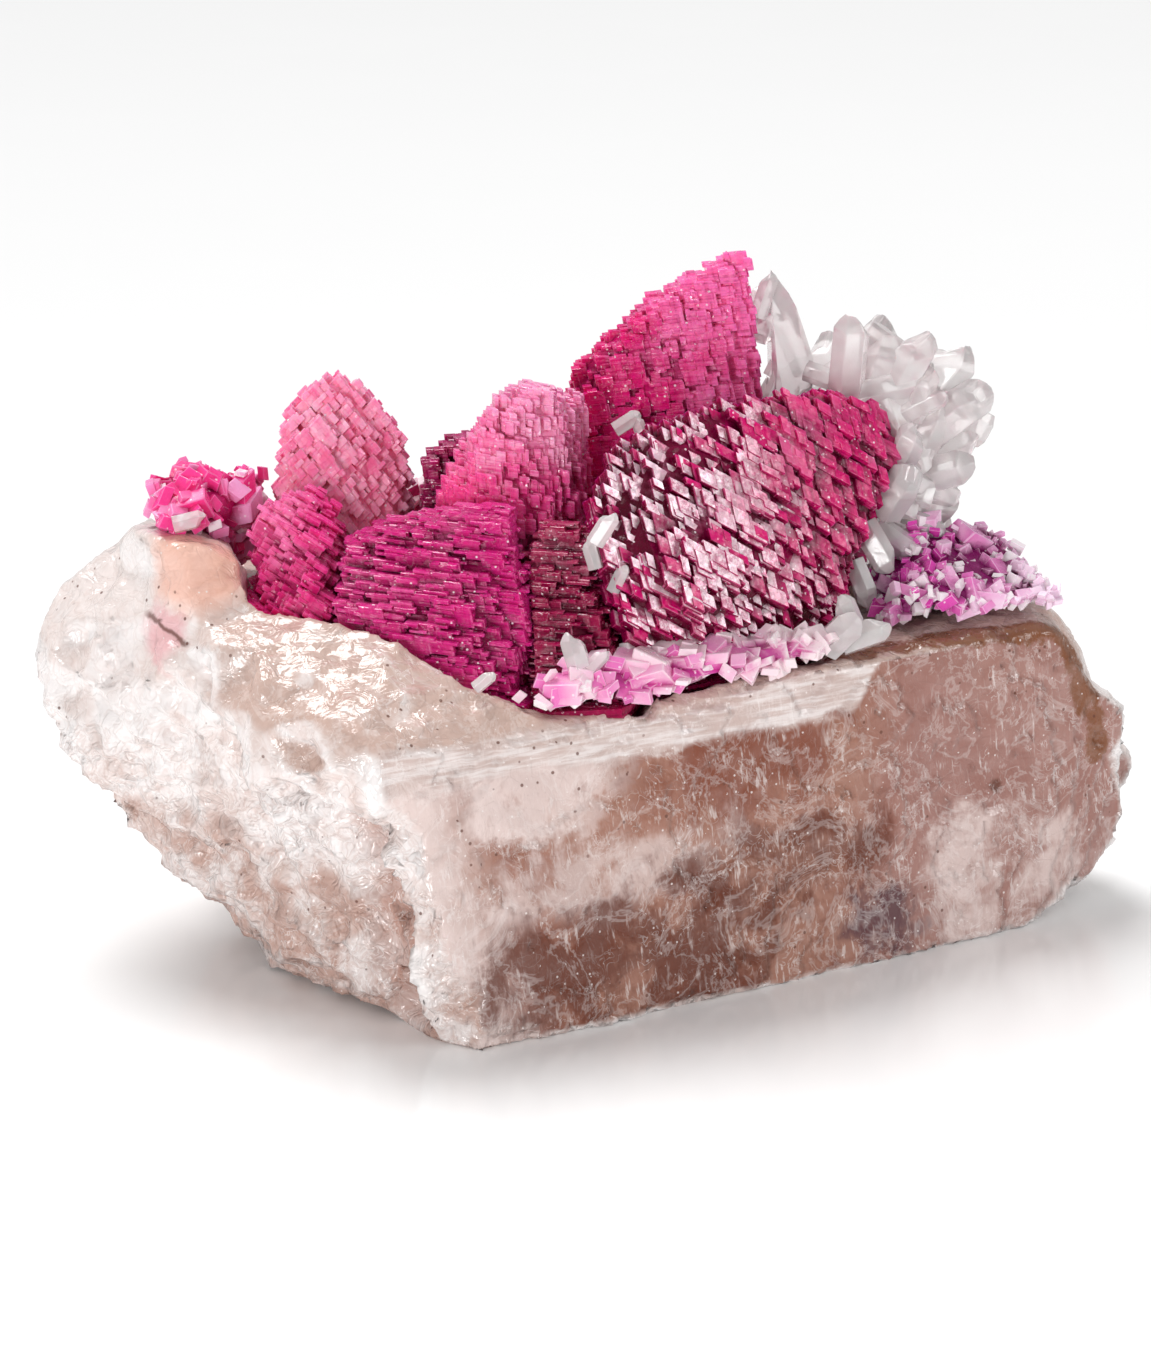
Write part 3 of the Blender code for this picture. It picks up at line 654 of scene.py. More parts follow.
def cleave(points, normals, plane, step, bend, share):
    """Moves the skin part way to flat cleavage layers of one direction, with edges that wander."""
    heights = points @ plane + bend
    facing = ramp(np.abs(normals @ plane), 0.3, 0.75) * share
    return ((np.round(heights / step) * step - heights) * facing)[:, None] * plane


def off_line(points, line):
    """How far along a line points lie, from 0 at its start to 1 at its end, and how far off it."""
    start, end = (np.array(spot) for spot in line)
    run = end - start
    along = ((points - start) @ run) / (run @ run)
    off = points - start - np.clip(along, 0, 1)[:, None] * run
    return along, off, np.linalg.norm(off, axis=1)


def broken_rock():
    """The calcite block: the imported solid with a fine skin, split layers, pits and broken edges."""
    rock = node_copy("calcite_matrix", "calcite_matrix_look")
    skin = rock.modifiers.new("skin", "REMESH")
    skin.mode = "VOXEL"
    skin.voxel_size = ROCK_GRAIN * MM
    skin.use_smooth_shade = True
    soft = rock.modifiers.new("soften", "SMOOTH")
    soft.factor = 0.5
    soft.iterations = 6
    apply_modifiers(rock)
    points, normals = points_of(rock.data), normals_of(rock.data)
    front = ramp(normals @ np.array(CLEAVAGE_OUT), 0.80, 0.95)
    top = ramp(normals[:, 2], 0.05, 0.45)
    base = ramp(-normals[:, 2], 0.6, 0.9) * ramp(points[:, 2], 1.2, 0.4)
    rough = (1 - front) * (1 - 0.7 * top) * (1 - base)
    broad = noise_over(points, 9.0)
    small = noise_over(points, 2.2, shift=5.0)
    crests = ridges_over(points, 3.4)
    chips = ridges_over(points, 1.7, shift=9.0)
    wander = broad * 1.3
    moved = np.zeros_like(points)
    for plane, step in zip(ROCK_PLANES, (2.1, 2.6, 1.6)):
        plane = np.array(Vector(plane).normalized())
        moved += cleave(points, normals, plane, step, wander, 0.4 * rough)
    layers = cleave(points, normals, np.array(CLEAVAGE_OUT), 0.5, wander * 0.5 + small * 0.1, 0.8 * front)
    calm = ramp(points[:, 2] + broad * 3.0, 17.0, 24.0)
    rough *= 1 - 0.5 * calm
    outward = small * (0.28 * rough + 0.12 * top + 0.02 * front) + (crests - 0.4) * 0.45 * rough
    outward += (chips - 0.4) * (0.22 * rough + 0.06 * top)
    along, off, off_edge = off_line(points, CORNER_EDGE)
    left_of = ((off @ np.array(CLEAVAGE_OUT) < -0.05) & (off[:, 0] < 0.6)).astype(float)
    recess = ramp(off_edge + small * 1.2, 0.6, 1.8) * ramp(off_edge + broad * 2.0, 8.0, 5.0)
    recess *= left_of * ramp(along + small * 0.06, 0.22, 0.32) * ramp(along, 1.1, 0.95)
    on_edge = ramp(off_edge, 1.5, 0.3) * ramp(along, -0.05, 0.1)
    outward += 0.5 * on_edge - 1.4 * recess
    ledge_along, _, off_ledge = off_line(points, LEDGE)
    under = ramp(off_ledge + broad * 1.5, 5.0, 1.0) * (points[:, 2] < LEDGE[0][2] - 7.0 * ledge_along)
    outward += ramp(off_ledge + small, 1.8, 0.4) * 0.6 - under * 0.8 * rough
    points = points + moved + layers * (1 - base)[:, None] + normals * (outward * (1 - base))[:, None]
    points[:, 2] = np.maximum(points[:, 2], 0.0)
    rock.data.vertices.foreach_set("co", (points * MM).ravel())
    rock.data.update()
    near = np.min([outline.rise(points) for outline in crystal_outlines.values()], axis=0)
    rust = np.max([ramp(off_line(points, line)[2] + small * 0.5, 2.4, 0.6) for line in RUST_LINES], axis=0)
    keep_value(rock, "near_crystal", near)
    keep_value(rock, "front", front)
    keep_value(rock, "top", top)
    keep_value(rock, "recess", recess)
    keep_value(rock, "edge", np.maximum(on_edge, ramp(off_ledge + small, 1.8, 0.5) * rough))
    keep_value(rock, "rust", rust)
    keep_value(rock, "calm", calm)
    print("rock", len(points), "points")
    return rock


# ------------------------------------------------------------------ materials


class Wire:
    """One output of a material's node. Sums and products of wires add Math nodes as they are written."""

    def __init__(self, look, socket):
        self.look, self.socket = look, socket

    def math(self, operation, *values):
        return self.look.node("ShaderNodeMath", {"operation": operation}, dict(enumerate(values)))

    def __add__(self, other):
        return self.math("ADD", self, other)

    def __sub__(self, other):
        return self.math("SUBTRACT", self, other)

    def __rsub__(self, other):
        return self.math("SUBTRACT", other, self)

    def __mul__(self, other):
        return self.math("MULTIPLY", self, other)

    def __truediv__(self, other):
        return self.math("DIVIDE", self, other)

    def __pow__(self, other):
        return self.math("POWER", self, other)

    __radd__, __rmul__ = __add__, __mul__


class Look:
    """A material that is being built."""

    def __init__(self, name):
        self.material = bpy.data.materials.new(name)
        self.material.use_nodes = True
        self.tree = self.material.node_tree
        self.tree.nodes.clear()

    def node(self, kind, settings, sockets, output=0):
        """Adds a node. Its settings come first, then the values or wires of its sockets."""
        added = self.tree.nodes.new(kind)
        for name, value in settings.items():
            if name == "stops":
                stops = added.color_ramp.elements
                while len(stops) < len(value):
                    stops.new(0.5)
                for stop, (place, colour) in zip(stops, value):
                    stop.position, stop.color = place, (*colour, 1.0)
            else:
                setattr(added, name, value)
        for name, value in sockets.items():
            if isinstance(value, Wire):
                self.tree.links.new(value.socket, added.inputs[name])
            elif isinstance(value, tuple) and added.inputs[name].type == "RGBA":
                added.inputs[name].default_value = (*value, 1.0)
            else:
                added.inputs[name].default_value = value
        return Wire(self, added.outputs[output])

    def place(self):
        """Where a point is on the specimen, in millimetres."""
        metres = self.node("ShaderNodeTexCoord", {}, {}, "Object")
        return self.node("ShaderNodeVectorMath", {"operation": "SCALE"}, {0: metres, "Scale": 1.0 / MM})

    def stretched(self, place, size, turn=(0.0, 0.0, 0.0), centre=(0.0, 0.0, 0.0)):
        """The place as a pattern sees it that is turned and drawn out."""
        return self.node(
            "ShaderNodeMapping", {"vector_type": "TEXTURE"},
            {"Vector": place, "Location": centre, "Rotation": turn, "Scale": size},
        )

    def kept(self, name):
        return self.node("ShaderNodeAttribute", {"attribute_name": name}, {}, "Fac")

    def clouds(self, place, size, detail=3.0, coarse=0.55, bent=0.0):
        """Soft noise from 0 to 1, with features of about the given size in millimetres."""
        return self.node(
            "ShaderNodeTexNoise", {},
            {"Vector": place, "Scale": 1.0 / size, "Detail": detail, "Roughness": coarse, "Distortion": bent},
        )

    def cells(self, place, size, feature="F1", output="Distance"):
        return self.node("ShaderNodeTexVoronoi", {"feature": feature}, {"Vector": place, "Scale": 1.0 / size}, output)

    def distance(self, place, spot):
        """How far a place lies from a spot."""
        return self.node("ShaderNodeVectorMath", {"operation": "DISTANCE"}, {0: place, 1: spot}, "Value")

    def stain(self, across, height, wobble, middle, reach):
        """1 in an uneven oval spot of a face, 0 outside it."""
        aside, up = (across - middle[0]) / reach[0], (height - middle[1]) / reach[1]
        return self.between(aside * aside + up * up + wobble, 2.0, 0.1)

    def size_of(self, value):
        """A value without its sign."""
        return self.node("ShaderNodeMath", {"operation": "ABSOLUTE"}, {0: value})

    def along(self, place, direction):
        """How far a place lies along a direction."""
        return self.node(
            "ShaderNodeVectorMath", {"operation": "DOT_PRODUCT"},
            {0: place, 1: tuple(Vector(direction).normalized())}, "Value",
        )

    def chips(self, place, size):
        """The height in millimetres of small flat chips that each lean their own way."""
        spots = self.cells(place, size, output="Position")
        leans = self.cells(place, size, output="Color")
        off = self.node("ShaderNodeVectorMath", {"operation": "SUBTRACT"}, {0: place, 1: spots})
        lean = self.node("ShaderNodeVectorMath", {"operation": "SUBTRACT"}, {0: leans, 1: (0.5, 0.5, 0.5)})
        return self.node("ShaderNodeVectorMath", {"operation": "DOT_PRODUCT"}, {0: off, 1: lean}, "Value")

    def lines(self, distance, size, detail=2.0):
        """Bands of uneven width and strength along a distance."""
        return self.node(
            "ShaderNodeTexNoise", {"noise_dimensions": "1D"},
            {"W": distance, "Scale": 1.0 / size, "Detail": detail, "Roughness": 0.65},
        )

    def between(self, value, low, high, first=0.0, last=1.0):
        """A smooth change from the first to the last number as a value goes from low to high."""
        return self.node(
            "ShaderNodeMapRange", {"interpolation_type": "SMOOTHSTEP"},
            {"Value": value, "From Min": low, "From Max": high, "To Min": first, "To Max": last},
        )

    def blend(self, share, colour, other):
        return self.node("ShaderNodeMix", {"data_type": "RGBA"}, {0: share, 6: colour, 7: other}, 2)

    def bump(self, height, depth, strength=1.0, under=None):
        """Relief of the given depth in millimetres, over other relief."""
        sockets = {"Height": height, "Distance": depth * MM, "Strength": strength}
        if under:
            sockets["Normal"] = under
        return self.node("ShaderNodeBump", {}, sockets)

    def surface(self, settings, sockets, absorbs=None):
        shader = self.node("ShaderNodeBsdfPrincipled", settings, sockets)
        ending = {"Surface": shader}
        if absorbs:
            colour, density = absorbs
            ending["Volume"] = self.node("ShaderNodeVolumeAbsorption", {}, {"Color": colour, "Density": density})
        end = self.tree.nodes.new("ShaderNodeOutputMaterial")
        for name, wire in ending.items():
            self.tree.links.new(wire.socket, end.inputs[name])
        return self.material


def stepped_look(name, colours, directions, light_side, silver=0.0, glow=0.28):
    """Translucent stepped crystal: deeper colour in the hollows as painted shade, a paler side and paler edges as
    painted light, fine growth lines, glints and white grains with painted sparkle.
    """
    deep, body, pale = colours
    toward, start, full, share = light_side
    look = Look(name)
    place = look.place()
    depth, worn, tint = look.kept("depth"), look.kept("worn"), look.kept("tint")
    patches = look.clouds(place, 6.0, 3.0, 0.55, 0.4)
    grain = look.clouds(place, 0.55, 3.0, 0.7)
    rows = [Vector(direction).normalized() for direction in directions]
    faces = [rows[0].cross(rows[1]), rows[1].cross(rows[2]), rows[2].cross(rows[0])]
    growth = [look.lines(look.along(place, face), size) for face, size in zip(faces, (0.34, 0.6, 0.6))]
    lines = growth[0] * 0.5 + growth[1] * 0.25 + growth[2] * 0.25
    # Painted shade: the colour turns deeper and darker, unevenly, where the skin lies sunk under the outline.
    sunk = look.between(depth + grain * 0.5 + tint * 0.2 + patches * 0.8, 0.75, 1.7)
    colour = look.blend(sunk, body, deep)
    # Painted light: paler toward the side that light is taken to come through; patches, tints and growth lines add
    # paler tone at random.
    lit = look.between(look.along(place, toward) + patches * 6.0 - 3.0, start, full) * share
    light = look.between(patches * 0.8 + tint * 0.15 + lines * 0.9, 0.82, 1.25) * 0.5 + lit
    colour = look.blend(look.between(light, 0.0, 1.0), colour, pale)
    colour = look.blend(look.between(lines, 0.50, 0.36) * 0.45, colour, deep)
    # Painted highlight: the broken edges of the steps are painted paler.
    colour = look.blend(worn * look.between(grain, 0.42, 0.62) * 0.5, colour, pale)
    glints = look.between(look.cells(place, 0.5), 0.24, 0.16) * look.between(grain, 0.46, 0.54)
    sockets = {
        "Roughness": look.between(grain, 0.3, 0.7, 0.12, 0.35),
        "IOR": 1.6,
        "Specular IOR Level": 0.14,
        "Coat Weight": look.between(glints + worn * 0.6, 0.0, 1.0),
        "Coat Roughness": 0.08,
        "Coat IOR": 1.6,
        "Subsurface Weight": glow,
        "Subsurface Radius": (1.0, 0.2, 0.5),
        "Subsurface Scale": 0.0018,
        "Normal": look.bump(look.chips(place, 0.45) * 0.5 + lines * 0.16, 1.0, 0.9),
    }
    if silver:
        toward_left = look.between(look.along(place, (1.0, 0.0, 0.35)) + patches * 20.0 + tint * 8.0, 48.0, 35.0)
        plate = look.kept("plate")
        # Painted shade: on the left part, faces that are not plates take the deep colour.
        colour = look.blend((1.0 - plate) * toward_left * (1.0 - worn * 0.6) * 0.75, colour, deep)
        # Painted sheen: plates on the left part are painted a pale silvery pink as a reflection, and made slightly
        # metallic and glossy.
        plate_sheen = plate * toward_left * look.between(tint + patches * 0.8, 0.50, 0.78)
        fine = look.clouds(place, 0.35, 2.0, 0.6)
        sheen_tone = look.between(grain * 0.7 + tint * 0.3 + fine * 0.4 + patches * 0.4, 0.70, 1.05)
        sheen_tone = look.blend(sheen_tone, (0.48, 0.09, 0.20), (0.90, 0.68, 0.75))
        colour = look.blend(plate_sheen * look.between(depth, 1.1, 0.5) * silver, colour, sheen_tone)
        sockets["Metallic"] = plate_sheen * 0.2
        sockets["Coat Weight"] = look.between(glints + worn * 0.6 + plate_sheen * 0.5, 0.0, 1.0)
    # White dots: partly white grains, partly painted sparkle.
    dots = look.cells(place, 0.75)
    colour = look.blend(look.between(dots, 0.16, 0.10) * look.between(grain, 0.44, 0.49) * 0.85, colour, GRAIN_AND_SPARKLE_WHITE)
    sockets["Base Color"] = colour
    return look.surface({"subsurface_method": "RANDOM_WALK"}, sockets)


def crust_look(name, colours, pale_side, white_share, glow=0.2):
    """Small druse crystals, each with its own strength of colour, some white, paler toward one side, with painted
    shade in the hollows, painted highlights on the edges and white dots partly of painted sparkle.
    """
    deep, body, pale = colours
    toward, start, full = pale_side
    look = Look(name)
    place = look.place()
    depth, worn, tint = look.kept("depth"), look.kept("worn"), look.kept("tint")
    grain = look.clouds(place, 0.5, 3.0, 0.7)
    patches = look.clouds(place, 3.5, 2.0)
    turned = look.between(look.along(place, toward) + patches * 8.0 + tint * 6.0 - 7.0, start, full)
    colour = look.blend(look.between(tint + patches, 0.7, 1.3) * 0.8, body, pale)
    colour = look.blend(turned, colour, pale)
    # Painted shade: the colour turns deeper where the crust lies sunk under its outline.
    colour = look.blend(look.between(depth + grain, 0.8, 1.9), colour, deep)
    white = look.between(tint + grain * 0.2, 1.06 - white_share, 1.1 - white_share)
    colour = look.blend(white * 0.85, colour, CRUST_WHITE)
    # Painted highlight: the broken edges of the crystals are painted paler.
    colour = look.blend(worn * 0.4, colour, pale)
    glints = look.between(look.cells(place, 0.5), 0.24, 0.16) * look.between(grain, 0.46, 0.54)
    # White dots: partly white grains, partly painted sparkle.
    colour = look.blend(look.between(look.cells(place, 0.8), 0.16, 0.10) * 0.7, colour, GRAIN_AND_SPARKLE_WHITE)
    return look.surface({"subsurface_method": "RANDOM_WALK"}, {
        "Base Color": colour,
        "Roughness": look.between(grain, 0.3, 0.7, 0.12, 0.35),
        "IOR": 1.6,
        "Specular IOR Level": 0.2,
        "Coat Weight": glints,
        "Coat Roughness": 0.08,
        "Subsurface Weight": glow,
        "Subsurface Radius": (1.0, 0.5, 0.7),
        "Subsurface Scale": 0.0015,
        "Normal": look.bump(grain, 0.07, 0.6),
    })


def clear_look():
    """Clear calcite: seen through, frosted on the skin and milky inside in places."""
    look = Look("clear_calcite")
    place = look.place()
    skin = look.clouds(place, 0.6, 3.0, 0.65)
    veil = look.clouds(place, 2.4, 3.0, 0.6, 0.6)
    return look.surface({}, {
        "Base Color": look.blend(look.between(veil, 0.42, 0.62), (1.0, 0.98, 0.975), (1.0, 0.94, 0.94)),
        "Roughness": look.between(skin, 0.35, 0.65, 0.04, 0.20),
        "IOR": 1.5,
        "Transmission Weight": 0.62,
        "Normal": look.bump(skin, 0.05, 0.6),
    }, absorbs=((0.93, 0.86, 0.86), 14.0))


def rock_look():
    """Glassy pale calcite: brown inside its cleaved front, pinkish under the left ledge, with rust along the rim, and
    with painted shade and painted highlights in places.
    """
    look = Look("pale_calcite")
    place = look.place()
    near, front, edge, rust = (look.kept(name) for name in ("near_crystal", "front", "edge", "rust"))
    broad = look.clouds(place, 11.0, 3.0, 0.55, 0.5)
    mid = look.clouds(place, 4.0, 4.0, 0.6, 0.4)
    grain = look.clouds(place, 0.7, 3.0, 0.65)
    height = look.along(place, (0.0, 0.0, 1.0))
    across = look.along(place, (1.0, 0.0, 0.0))
    fibres = look.clouds(look.stretched(place, (0.4, 0.4, 3.4), (0.12, -0.05, 0.0)), 1.0, 3.0, 0.62)
    wobble = mid * 6.5 + broad * 3.5 + fibres * 1.6 - 5.8

    facet = look.along(look.cells(place, CHIP_WIDTH, output="Color"), (1.0, 1.0, 1.0)) * 0.58
    folds = look.size_of(look.clouds(place, 1.8, 2.0, 0.6, 1.2) - 0.5) * 2.0
    calm = look.kept("calm")
    rough = (1.0 - front * 0.85) * (1.0 - calm * 0.5)
    white = look.between(broad * 0.6 + mid * 0.5 + facet * 0.08 + calm * 0.06, 0.48, 0.64)
    colour = look.blend(white, FLESH, WHITE_CALCITE)
    # Partly the block's cream top, partly painted shade: up-facing faces on the left are darkened against the
    # overhead light.
    top_cream_and_shade = look.kept("top") * look.between(mid + facet * 0.2, 1.0, 0.62) * look.between(across, -37.0, -25.0, 0.35, 1.0)
    colour = look.blend(top_cream_and_shade * 0.92, colour, CREAM)
    low = look.between(height + broad * 9.0, 20.0, 15.5) * look.between(across, 0.0, -8.0)
    colour = look.blend(low * look.between(mid, 0.40, 0.60, 0.9, 0.25), colour, FLANK_BROWN)
    colour = look.blend(look.kept("recess") * 0.6, colour, RECESS_BROWN)
    # Painted shade: the creases of the folds on the rough skin are darkened toward brown.
    colour = look.blend(look.between(folds, 0.12, 0.0) * rough * 0.3, colour, FLANK_BROWN)
    margin = look.between(across + mid * 3.0, 41.0, 43.0)
    colour = look.blend(margin * 0.7, colour, WHITE_CALCITE)

    streaks = look.clouds(look.stretched(place, (5.0, 5.0, 0.45), (0.0, 0.0, 0.56)), 1.0, 3.0, 0.6)
    smooth_right = look.between(across + mid * 5.0, 22.0, 29.0)
    inside = front * look.between(height + mid * 3.4 + broad * 2.0 - smooth_right * 8.0, 23.9, 22.9)
    band = look.blend(look.between(streaks, 0.38, 0.66), BAND_FLESH, BAND_WHITE)
    colour = look.blend(front * 0.9, colour, band)
    body = look.blend(look.between(broad * 0.75 + mid * 0.45, 0.52, 0.70), FRONT_BROWN, FRONT_PALE)
    # Partly white calcite, partly painted light: the front turns whiter toward its left, where light is taken to
    # fall.
    left_white_and_light = look.between(look.along(place, (0.95, 0.0, 0.2)) + mid * 10.0 + broad * 6.0, 6.0, -1.0)
    body = look.blend(left_white_and_light * 0.85, body, FRONT_WHITE)
    body = look.blend(smooth_right * 0.85, body, FRONT_ROSE)
    for middle, reach, share, stain in FRONT_STAINS:
        body = look.blend(look.stain(across, height, wobble, middle, reach) * share, body, stain)
    colour = look.blend(inside, colour, body)
    dot = look.distance(place, (32.6, -1.8, 12.6))
    colour = look.blend(look.between(dot + grain, 1.3, 0.9) * 0.8, colour, SPECK)

    veins = look.clouds(place, 6.0, 5.0, 0.66, 0.8)
    veins = 1.0 - look.size_of((veins - 0.5) * 30.0)
    colour = look.blend(look.between(veins, 0.0, 1.0) * 0.2, colour, THREAD_WHITE)
    wisps = look.between(fibres, 0.56, 0.68) * (0.08 + front * look.between(mid, 0.44, 0.60) * 0.38)
    colour = look.blend(wisps, colour, THREAD_WHITE)
    # Painted highlight: glint white along the front corner edge and the ledge.
    colour = look.blend(edge * look.between(mid + grain * 0.4, 0.38, 0.58) * 0.9, colour, GLINT_WHITE)
    # Painted highlights: thin white squiggles stand in for glints along the wrinkles, on the rough skin and in the
    # cloudy front.
    painted_glint_lines = 1.0 - look.size_of((look.clouds(place, 1.5, 2.0, 0.5, 1.6) - 0.5) * 34.0)
    painted_glint_lines = look.between(painted_glint_lines, 0.0, 0.9) * look.between(look.clouds(place, 2.6, 1.0), 0.46, 0.56)
    painted_glint_lines = painted_glint_lines * (rough * 0.42 + look.between(broad + mid, 0.94, 1.12) * 0.22)
    colour = look.blend(painted_glint_lines, colour, GLINT_WHITE)

    knob = look.distance(place, KNOB)
    colour = look.blend(look.between(knob + mid * 2.0, 6.6, 4.0) * 0.7, colour, KNOB_ORANGE)
    colour = look.blend(look.between(near + mid * 3.0, 3.0, 1.6) * 0.5, colour, PINK_STAIN)
    pink = look.distance(place, PINK_PATCH)
    colour = look.blend(look.between(pink + mid * 4.0, 5.2, 3.6) * 0.6, colour, PINK_STAIN)
    crack = look.size_of(look.distance(place, CRACK[0]) - look.distance(place, CRACK[1]) + mid * 3.0 - 1.5)
    crack = look.between(crack, 0.6, 0.1) * look.between(pink, 3.2, 2.4)
    colour = look.blend(crack * 0.8, colour, SPECK)
    rusty = look.between(rust + mid * 1.6 + grain * 0.8, 1.68, 2.1)
    colour = look.blend(rusty * 0.9, colour, RUST)
    kept_dots = look.between(look.clouds(place, 6.0, 1.0), 0.48, 0.56)
    colour = look.blend(look.between(look.cells(place, 1.3), 0.14, 0.07) * kept_dots * 0.8, colour, SPECK)
    # White dots: partly white grains, partly painted sparkle.
    white_dots = look.between(look.cells(place, 0.8), 0.14, 0.09) * look.between(grain, 0.48, 0.53)
    colour = look.blend(white_dots * 0.7, colour, THREAD_WHITE)

    relief = (look.chips(place, CHIP_WIDTH) * 0.75 + folds * 0.3) * rough
    relief = look.bump(relief + fibres * front * 0.06, 1.0, 0.9)
    return look.surface({}, {
        "Base Color": colour,
        "Roughness": look.between(grain, 0.3, 0.7, 0.07, 0.26),
        "IOR": 1.6,
        "Specular IOR Level": 0.42,
        "Normal": relief,
    })


def floor_look():
    look = Look("white_board")
    place = look.place()
    grain = look.clouds(place, 30.0, 2.0)
    return look.surface({}, {
        "Base Color": (0.97, 0.97, 0.97),
        "Roughness": look.between(grain, 0.3, 0.7, 0.12, 0.14),
        "IOR": 1.45,
    })


# ------------------------------------------------------------------ making the specimen

# Places on the rock: its front corner edge and the ledge on its left, both painted with a highlight, the rusty rim
# and edge, the warm knob, the pink patch and the dark crack in it.
CORNER_EDGE = ((-17.6, -31.0, 24.1), (-12.6, -28.6, 0.5))
LEDGE = ((-33.0, -14.5, 27.0), (-20.3, -26.0, 20.0))
RUST_LINES = (
    ((19.0, -6.4, 25.6), (30.0, -1.2, 25.6)), ((30.0, -1.2, 25.6), (38.4, 3.0, 24.8)),
    ((38.6, 3.2, 24.6), (40.7, 4.9, 17.6)), ((40.7, 4.9, 17.6), (41.4, 5.2, 13.6)),
)
KNOB = (-31.2, -13.0, 34.6)
PINK_PATCH = (-33.2, -13.2, 28.8)
CRACK = ((-33.6, -13.3, 26.6), (-31.8, -13.3, 31.4))
ROCK_PLANES = (CLEAVAGE_OUT, (-0.62, -0.70, 0.35), (0.25, -0.15, 0.95))

CLEAR_ROOT = (20.0, 13.3, 32.5)
CLEAR_BED = (
    (15.5, 14.3, 19.5), (26.0, 10.3, 19.5), (28.0, 12.3, 37.4), (25.6, 12.3, 42.0), (20.6, 11.3, 43.4),
    (16.0, 16.3, 40.4), (24.0, 18.2, 21.5), (16.0, 19.3, 21.5), (24.0, 18.3, 38.4),
)
CLEAR_TIPS = (
    ((20.9, 7.9, 48.6), 2.6), ((23.8, 10.9, 46.0), 3.4), ((26.5, 9.9, 46.6), 3.0), ((29.5, 12.7, 44.8), 3.8),
    ((31.3, 10.7, 42.0), 3.2), ((31.1, 13.3, 38.4), 3.8), ((30.3, 9.3, 36.4), 2.8), ((28.5, 11.3, 33.1), 3.8),
    ((27.7, 8.3, 30.9), 2.8), ((28.3, 10.9, 28.1), 3.4), ((26.9, 15.3, 42.8), 3.8), ((23.0, 16.3, 46.0), 4.0),
    ((28.9, 17.3, 36.4), 4.0), ((19.0, 17.3, 44.4), 3.6), ((25.0, 21.2, 39.4), 4.0), ((21.0, 22.2, 32.5), 4.0),
)

CHIP_WIDTH = 1.7
CREAM = (0.54, 0.37, 0.31)
WHITE_CALCITE = (0.88, 0.83, 0.82)
FLESH = (0.74, 0.62, 0.585)
BAND_WHITE = (0.78, 0.70, 0.68)
BAND_FLESH = (0.56, 0.42, 0.38)
FLANK_BROWN = (0.50, 0.31, 0.255)
RECESS_BROWN = (0.42, 0.21, 0.16)
FRONT_BROWN = (0.23, 0.068, 0.038)
FRONT_PALE = (0.36, 0.17, 0.12)
FRONT_WHITE = (0.80, 0.66, 0.625)
FRONT_ROSE = (0.35, 0.175, 0.148)
GLINT_WHITE = (0.96, 0.92, 0.91)
DARK_BROWN = (0.13, 0.028, 0.011)
PLUM_STAIN = (0.10, 0.030, 0.038)
THREAD_WHITE = (0.88, 0.81, 0.79)
KNOB_ORANGE = (0.86, 0.44, 0.32)
PINK_STAIN = (0.78, 0.34, 0.38)
RUST = (0.20, 0.06, 0.014)
SPECK = (0.11, 0.028, 0.012)
GRAIN_AND_SPARKLE_WHITE = (0.95, 0.80, 0.86)
# Stains inside the cleaved front: middle and reach across and up, strength and colour.
FRONT_STAINS = (
    ((-3.0, 18.6), (5.5, 3.6), 0.8, FRONT_WHITE),
    ((10.0, 17.0), (9.0, 3.4), 0.7, FRONT_BROWN),
    ((2.0, 12.2), (9.0, 3.0), 0.6, FRONT_WHITE),
    ((14.0, 10.4), (8.0, 3.0), 0.85, DARK_BROWN),
    ((5.0, 5.0), (12.0, 4.4), 0.9, DARK_BROWN),
    ((32.5, 4.6), (6.5, 5.0), 0.7, FRONT_WHITE),
    ((23.6, 3.4), (3.8, 3.0), 0.95, PLUM_STAIN),
)

